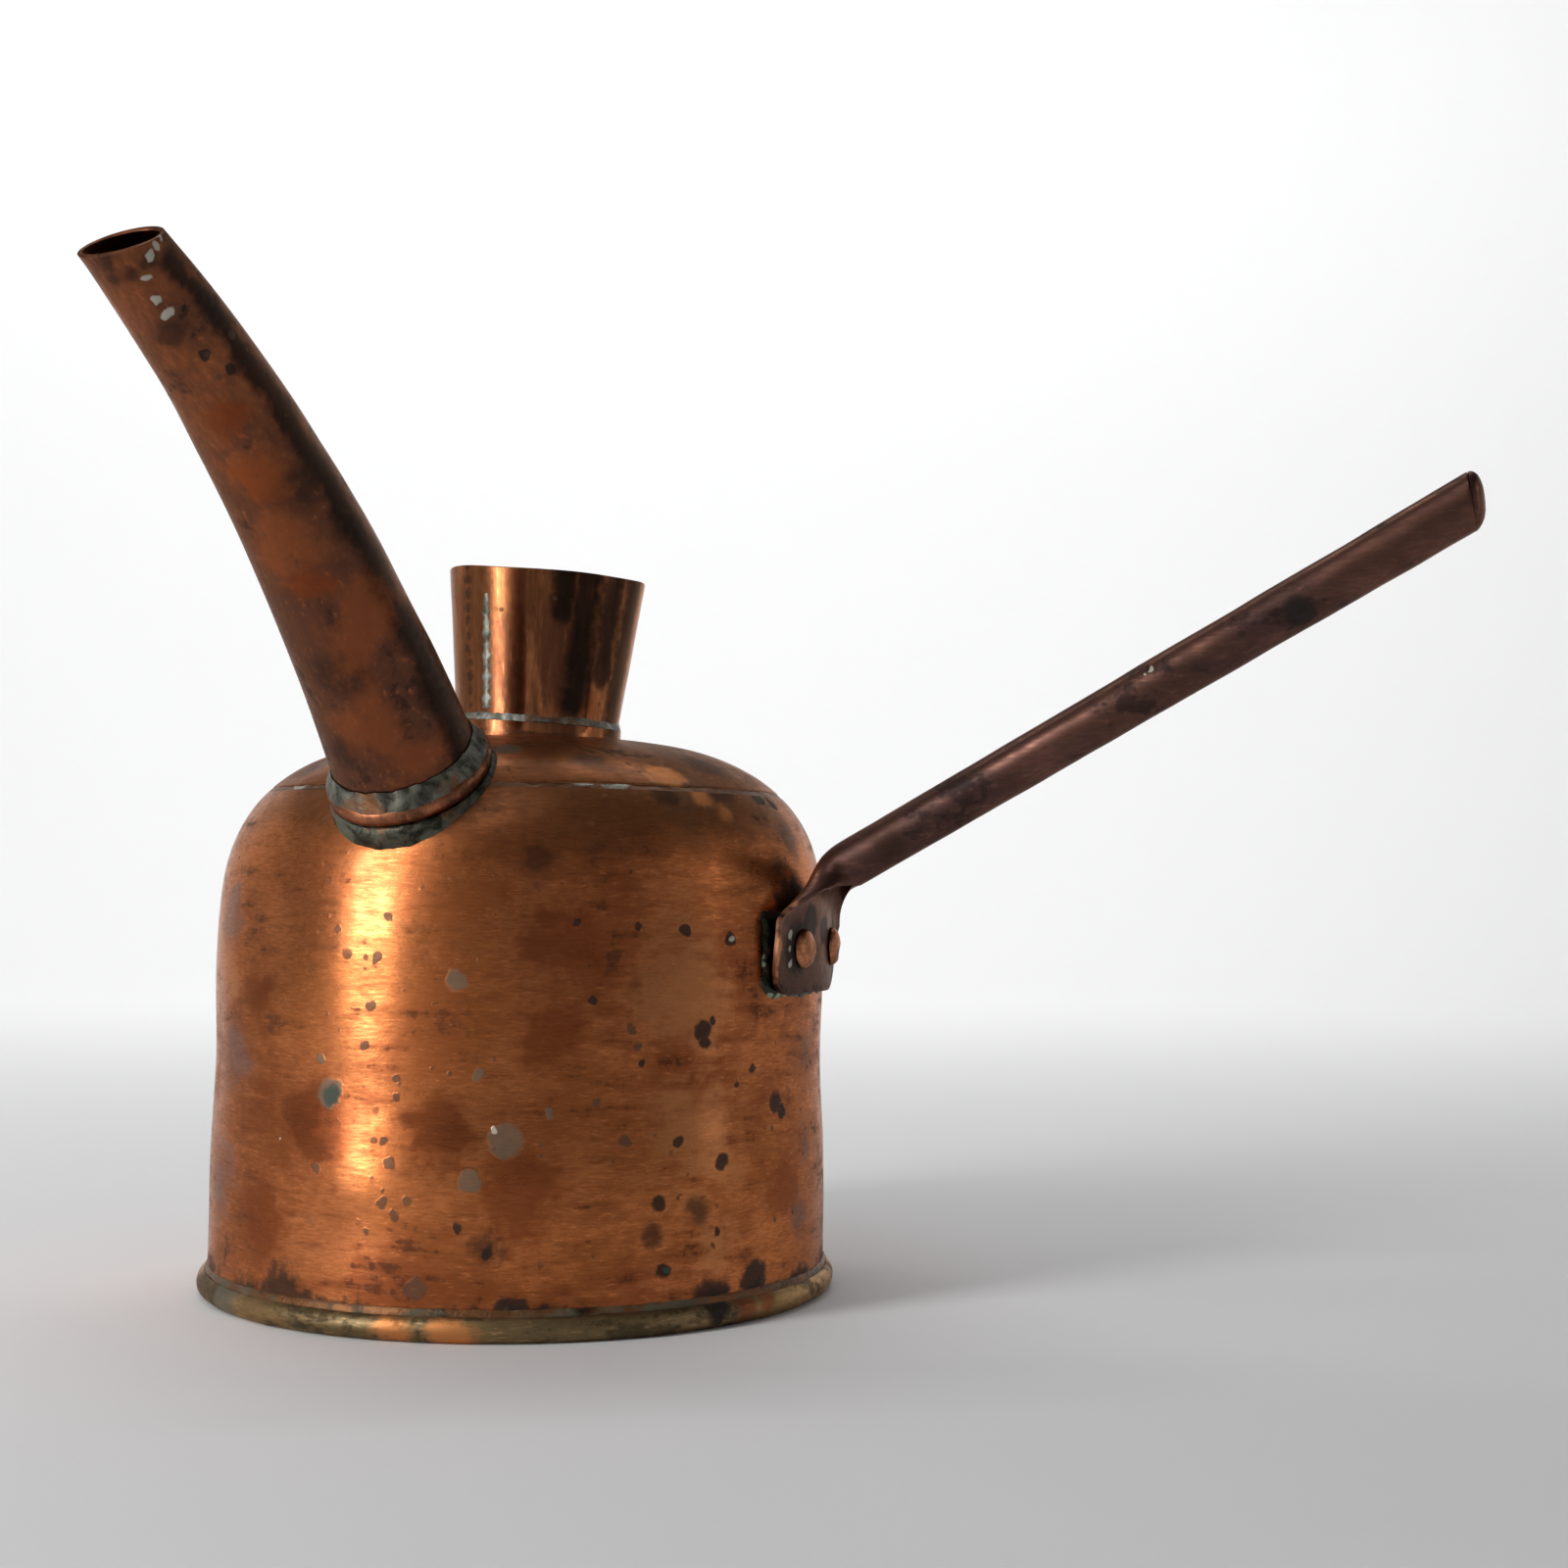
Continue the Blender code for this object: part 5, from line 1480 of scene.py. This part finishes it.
        pad = Bench("palm-bed-solder").wrapped(110, 60, bed).thickened(0.0014).lumped(0.006, 0.0002, 1)
        crumbs = [Mark((0.0975, half * (step / 7.0 - 1.0), self.bottom - 0.0012), 2.2) for step in range(15)]
        crumbs += [Mark((0.0960, -half - 0.0003, self.bottom + 0.003 * step), 1.7) for step in range(1, 5)]
        # The near-black tin is partly dark solder and partly painted shadow between the palm and the wall;
        # the pale crumbs are its crust.
        tin = TinSolder("palm bed tin", green=0.3, copper=0.2, bright=(0.045, 0.050, 0.036),
                        dull=(0.012, 0.012, 0.009), skin=(0.06, 0.075, 0.05), pale=crumbs,
                        bare=(0.30, 0.38, 0.27))
        pad.done(tin.material(), Slot.GREEN_SOLDER, "palm_solder")

    def build_rivet(self, label: str, turn: float, seed: int) -> None:
        """Build one hammered rivet, head outside and tail inside."""
        seat = self.palm_middle + self.sheet / 2 + 0.0002
        head, rise = self.rivet_head, self.rivet_rise
        dome = [(0.0, 1.0), (0.3, 0.97), (0.55, 0.88), (0.75, 0.72), (0.9, 0.48), (0.985, 0.22),
                (1.0, 0.08), (0.97, 0.0)]
        outline = [(head * share, seat + rise * high) for share, high in dome]
        tail = self.wall_radius - self.wall_sheet - self.rove_depth
        outline += [(self.shank_radius, seat), (self.shank_radius, tail), (self.tail_radius - 0.0003, tail),
                    (self.tail_radius, tail - 0.0006), (self.shank_radius + 0.0004, tail - 0.0016),
                    (0.0, tail - 0.0018)]
        random.seed(40 + seed)
        blows = [(random.uniform(0.0, math.tau), random.uniform(0.2, 0.75) * head,
                  random.uniform(0.0022, 0.0034)) for _ in range(9)]

        def hammered(point: Vector) -> Vector:
            """Return the flats that the hammer left on the head."""
            drop = 0.0
            if point.z > seat:
                for angle, reach, size in blows:
                    away = math.hypot(point.x - reach * math.cos(angle), point.y - reach * math.sin(angle))
                    drop += 0.00022 * softly(away / size)
            return Vector((0.0, 0.0, -drop))

        axis = Vector((math.cos(turn), math.sin(turn), 0.0))
        rivet = Bench("rivet-" + label).turned(outline, 56).modified("SUBSURF", levels=1, render_levels=1)
        rivet.pushed(hammered).placed(placing(Vector((0.0, 0.0, self.rivet_height)), axis))
        rivet.done(self.copper("rivet copper " + label, clean=(0.52, 0.20, 0.09), tarnish=0.45), Slot.RIVET,
                   "rivet_" + label)


@dataclass
class Studio:
    """Floor, lights and camera; sizes in metres."""

    camera_turn: float = math.radians(25.5)
    camera_reach: float = 0.7389
    camera_height: float = 0.1326
    lens: float = 50.0
    yaw: float = math.radians(6.74)
    pitch: float = math.radians(2.65)
    roll: float = math.radians(0.49)

    def build_floor(self) -> None:
        """Build the pale floor, which turns up into a low wall all round."""
        outline = [(0.0, 0.0), (0.6, 0.0), (1.6, 0.0), (2.2, 0.0)]
        outline += [(2.2 + 0.9 * math.sin(math.radians(angle)), 0.9 - 0.9 * math.cos(math.radians(angle)))
                    for angle in range(6, 91, 6)]
        outline.append((3.1, 1.9))
        bench = Bench("studio-floor").turned(outline, 96)
        bpy.ops.object.mode_set(mode="EDIT")
        bpy.ops.mesh.flip_normals()
        bpy.ops.object.mode_set(mode="OBJECT")
        bpy.ops.object.shade_smooth()
        bench.thing.data.materials.append(PaleFloor().material())

    def lamp(self, name: str, turn: float, reach: float, height: float, size: Sequence[float],
             power: float, aim: Vector) -> None:
        """Hang one soft box.

        Args:
            name: the lamp's name.
            turn: its azimuth from the spout, in degrees.
            reach: distance from the can's axis.
            height: height of its middle.
            size: width and height of its face.
            power: in watts.
            aim: the point it faces.
        """
        angle = math.radians(turn)
        place = Vector((reach * math.sin(angle), -reach * math.cos(angle), height))
        facing = (aim - place).to_track_quat("-Z", "Y").to_euler()
        bpy.ops.object.light_add(type="AREA", location=place, rotation=facing)
        light = bpy.context.object
        light.name = name
        light.data.shape = "RECTANGLE"
        light.data.size, light.data.size_y = size
        light.data.energy = power

    def build_lights(self) -> None:
        """Hang the soft boxes and set the room's light."""
        middle = Vector((0.0, 0.0, 0.14))
        self.lamp("left soft box", -30.5, 1.25, 0.44, (0.30, 1.3), 12.5, middle)
        self.lamp("right soft box", 98.0, 1.4, 0.50, (0.30, 1.2), 0.7, middle)
        self.lamp("top soft box", -20.0, 0.9, 1.9, (1.0, 1.0), 3.5, middle)
        self.lamp("backdrop soft box", 205.5, 1.2, 2.1, (2.6, 0.7), 46.0, Vector((-1.29, 2.71, 0.2)))
        world = bpy.data.worlds.new("studio room")
        world.use_nodes = True
        backdrop = world.node_tree.nodes["Background"]
        backdrop.inputs["Color"].default_value = (0.93, 0.95, 1.0, 1.0)
        backdrop.inputs["Strength"].default_value = 0.095
        bpy.context.scene.world = world
        bpy.context.scene.view_settings.view_transform = "Standard"

    def build_camera(self) -> None:
        """Stand the camera at its measured place."""
        forward = Vector((math.sin(self.yaw) * math.cos(self.pitch),
                          math.cos(self.yaw) * math.cos(self.pitch), math.sin(self.pitch)))
        level = Vector((math.cos(self.yaw), -math.sin(self.yaw), 0.0))
        above = level.cross(forward)
        right = level * math.cos(self.roll) + above * math.sin(self.roll)
        up = above * math.cos(self.roll) - level * math.sin(self.roll)
        pose = Matrix((right, up, -forward)).transposed().to_4x4()
        pose = Matrix.Translation(Vector((0.0, -self.camera_reach, self.camera_height))) @ pose
        bpy.ops.object.camera_add()
        camera = bpy.context.object
        camera.matrix_world = Matrix.Rotation(self.camera_turn, 4, "Z") @ pose
        camera.data.lens = self.lens
        camera.data.sensor_width = 36.0
        camera.data.clip_start = 0.01
        bpy.context.scene.camera = camera


def dress_kept_nodes() -> None:
    """Give the CAD nodes that stay their finishes."""
    dressed = {"base_wire": OldIron().material(),
               "rove_front": AgedCopper("rove copper front", tarnish=0.9, blotches=0.6).material(),
               "rove_rear": AgedCopper("rove copper rear", tarnish=0.9, blotches=0.6).material()}
    for name, finish in dressed.items():
        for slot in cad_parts[name].material_slots:
            slot.material = finish
        LOG.info("%s: kept from the frame", name)


def main() -> None:
    """Build the studio and every sub-assembly in order."""
    logging.basicConfig(level=logging.INFO, format="%(message)s")
    studio = Studio()
    studio.build_camera()
    studio.build_floor()
    studio.build_lights()
    spout, filler = Spout(), Filler()
    Body().build(spout, filler)
    spout.build()
    filler.build()
    Handle().build()
    dress_kept_nodes()


if __name__ == "__main__":
    main()
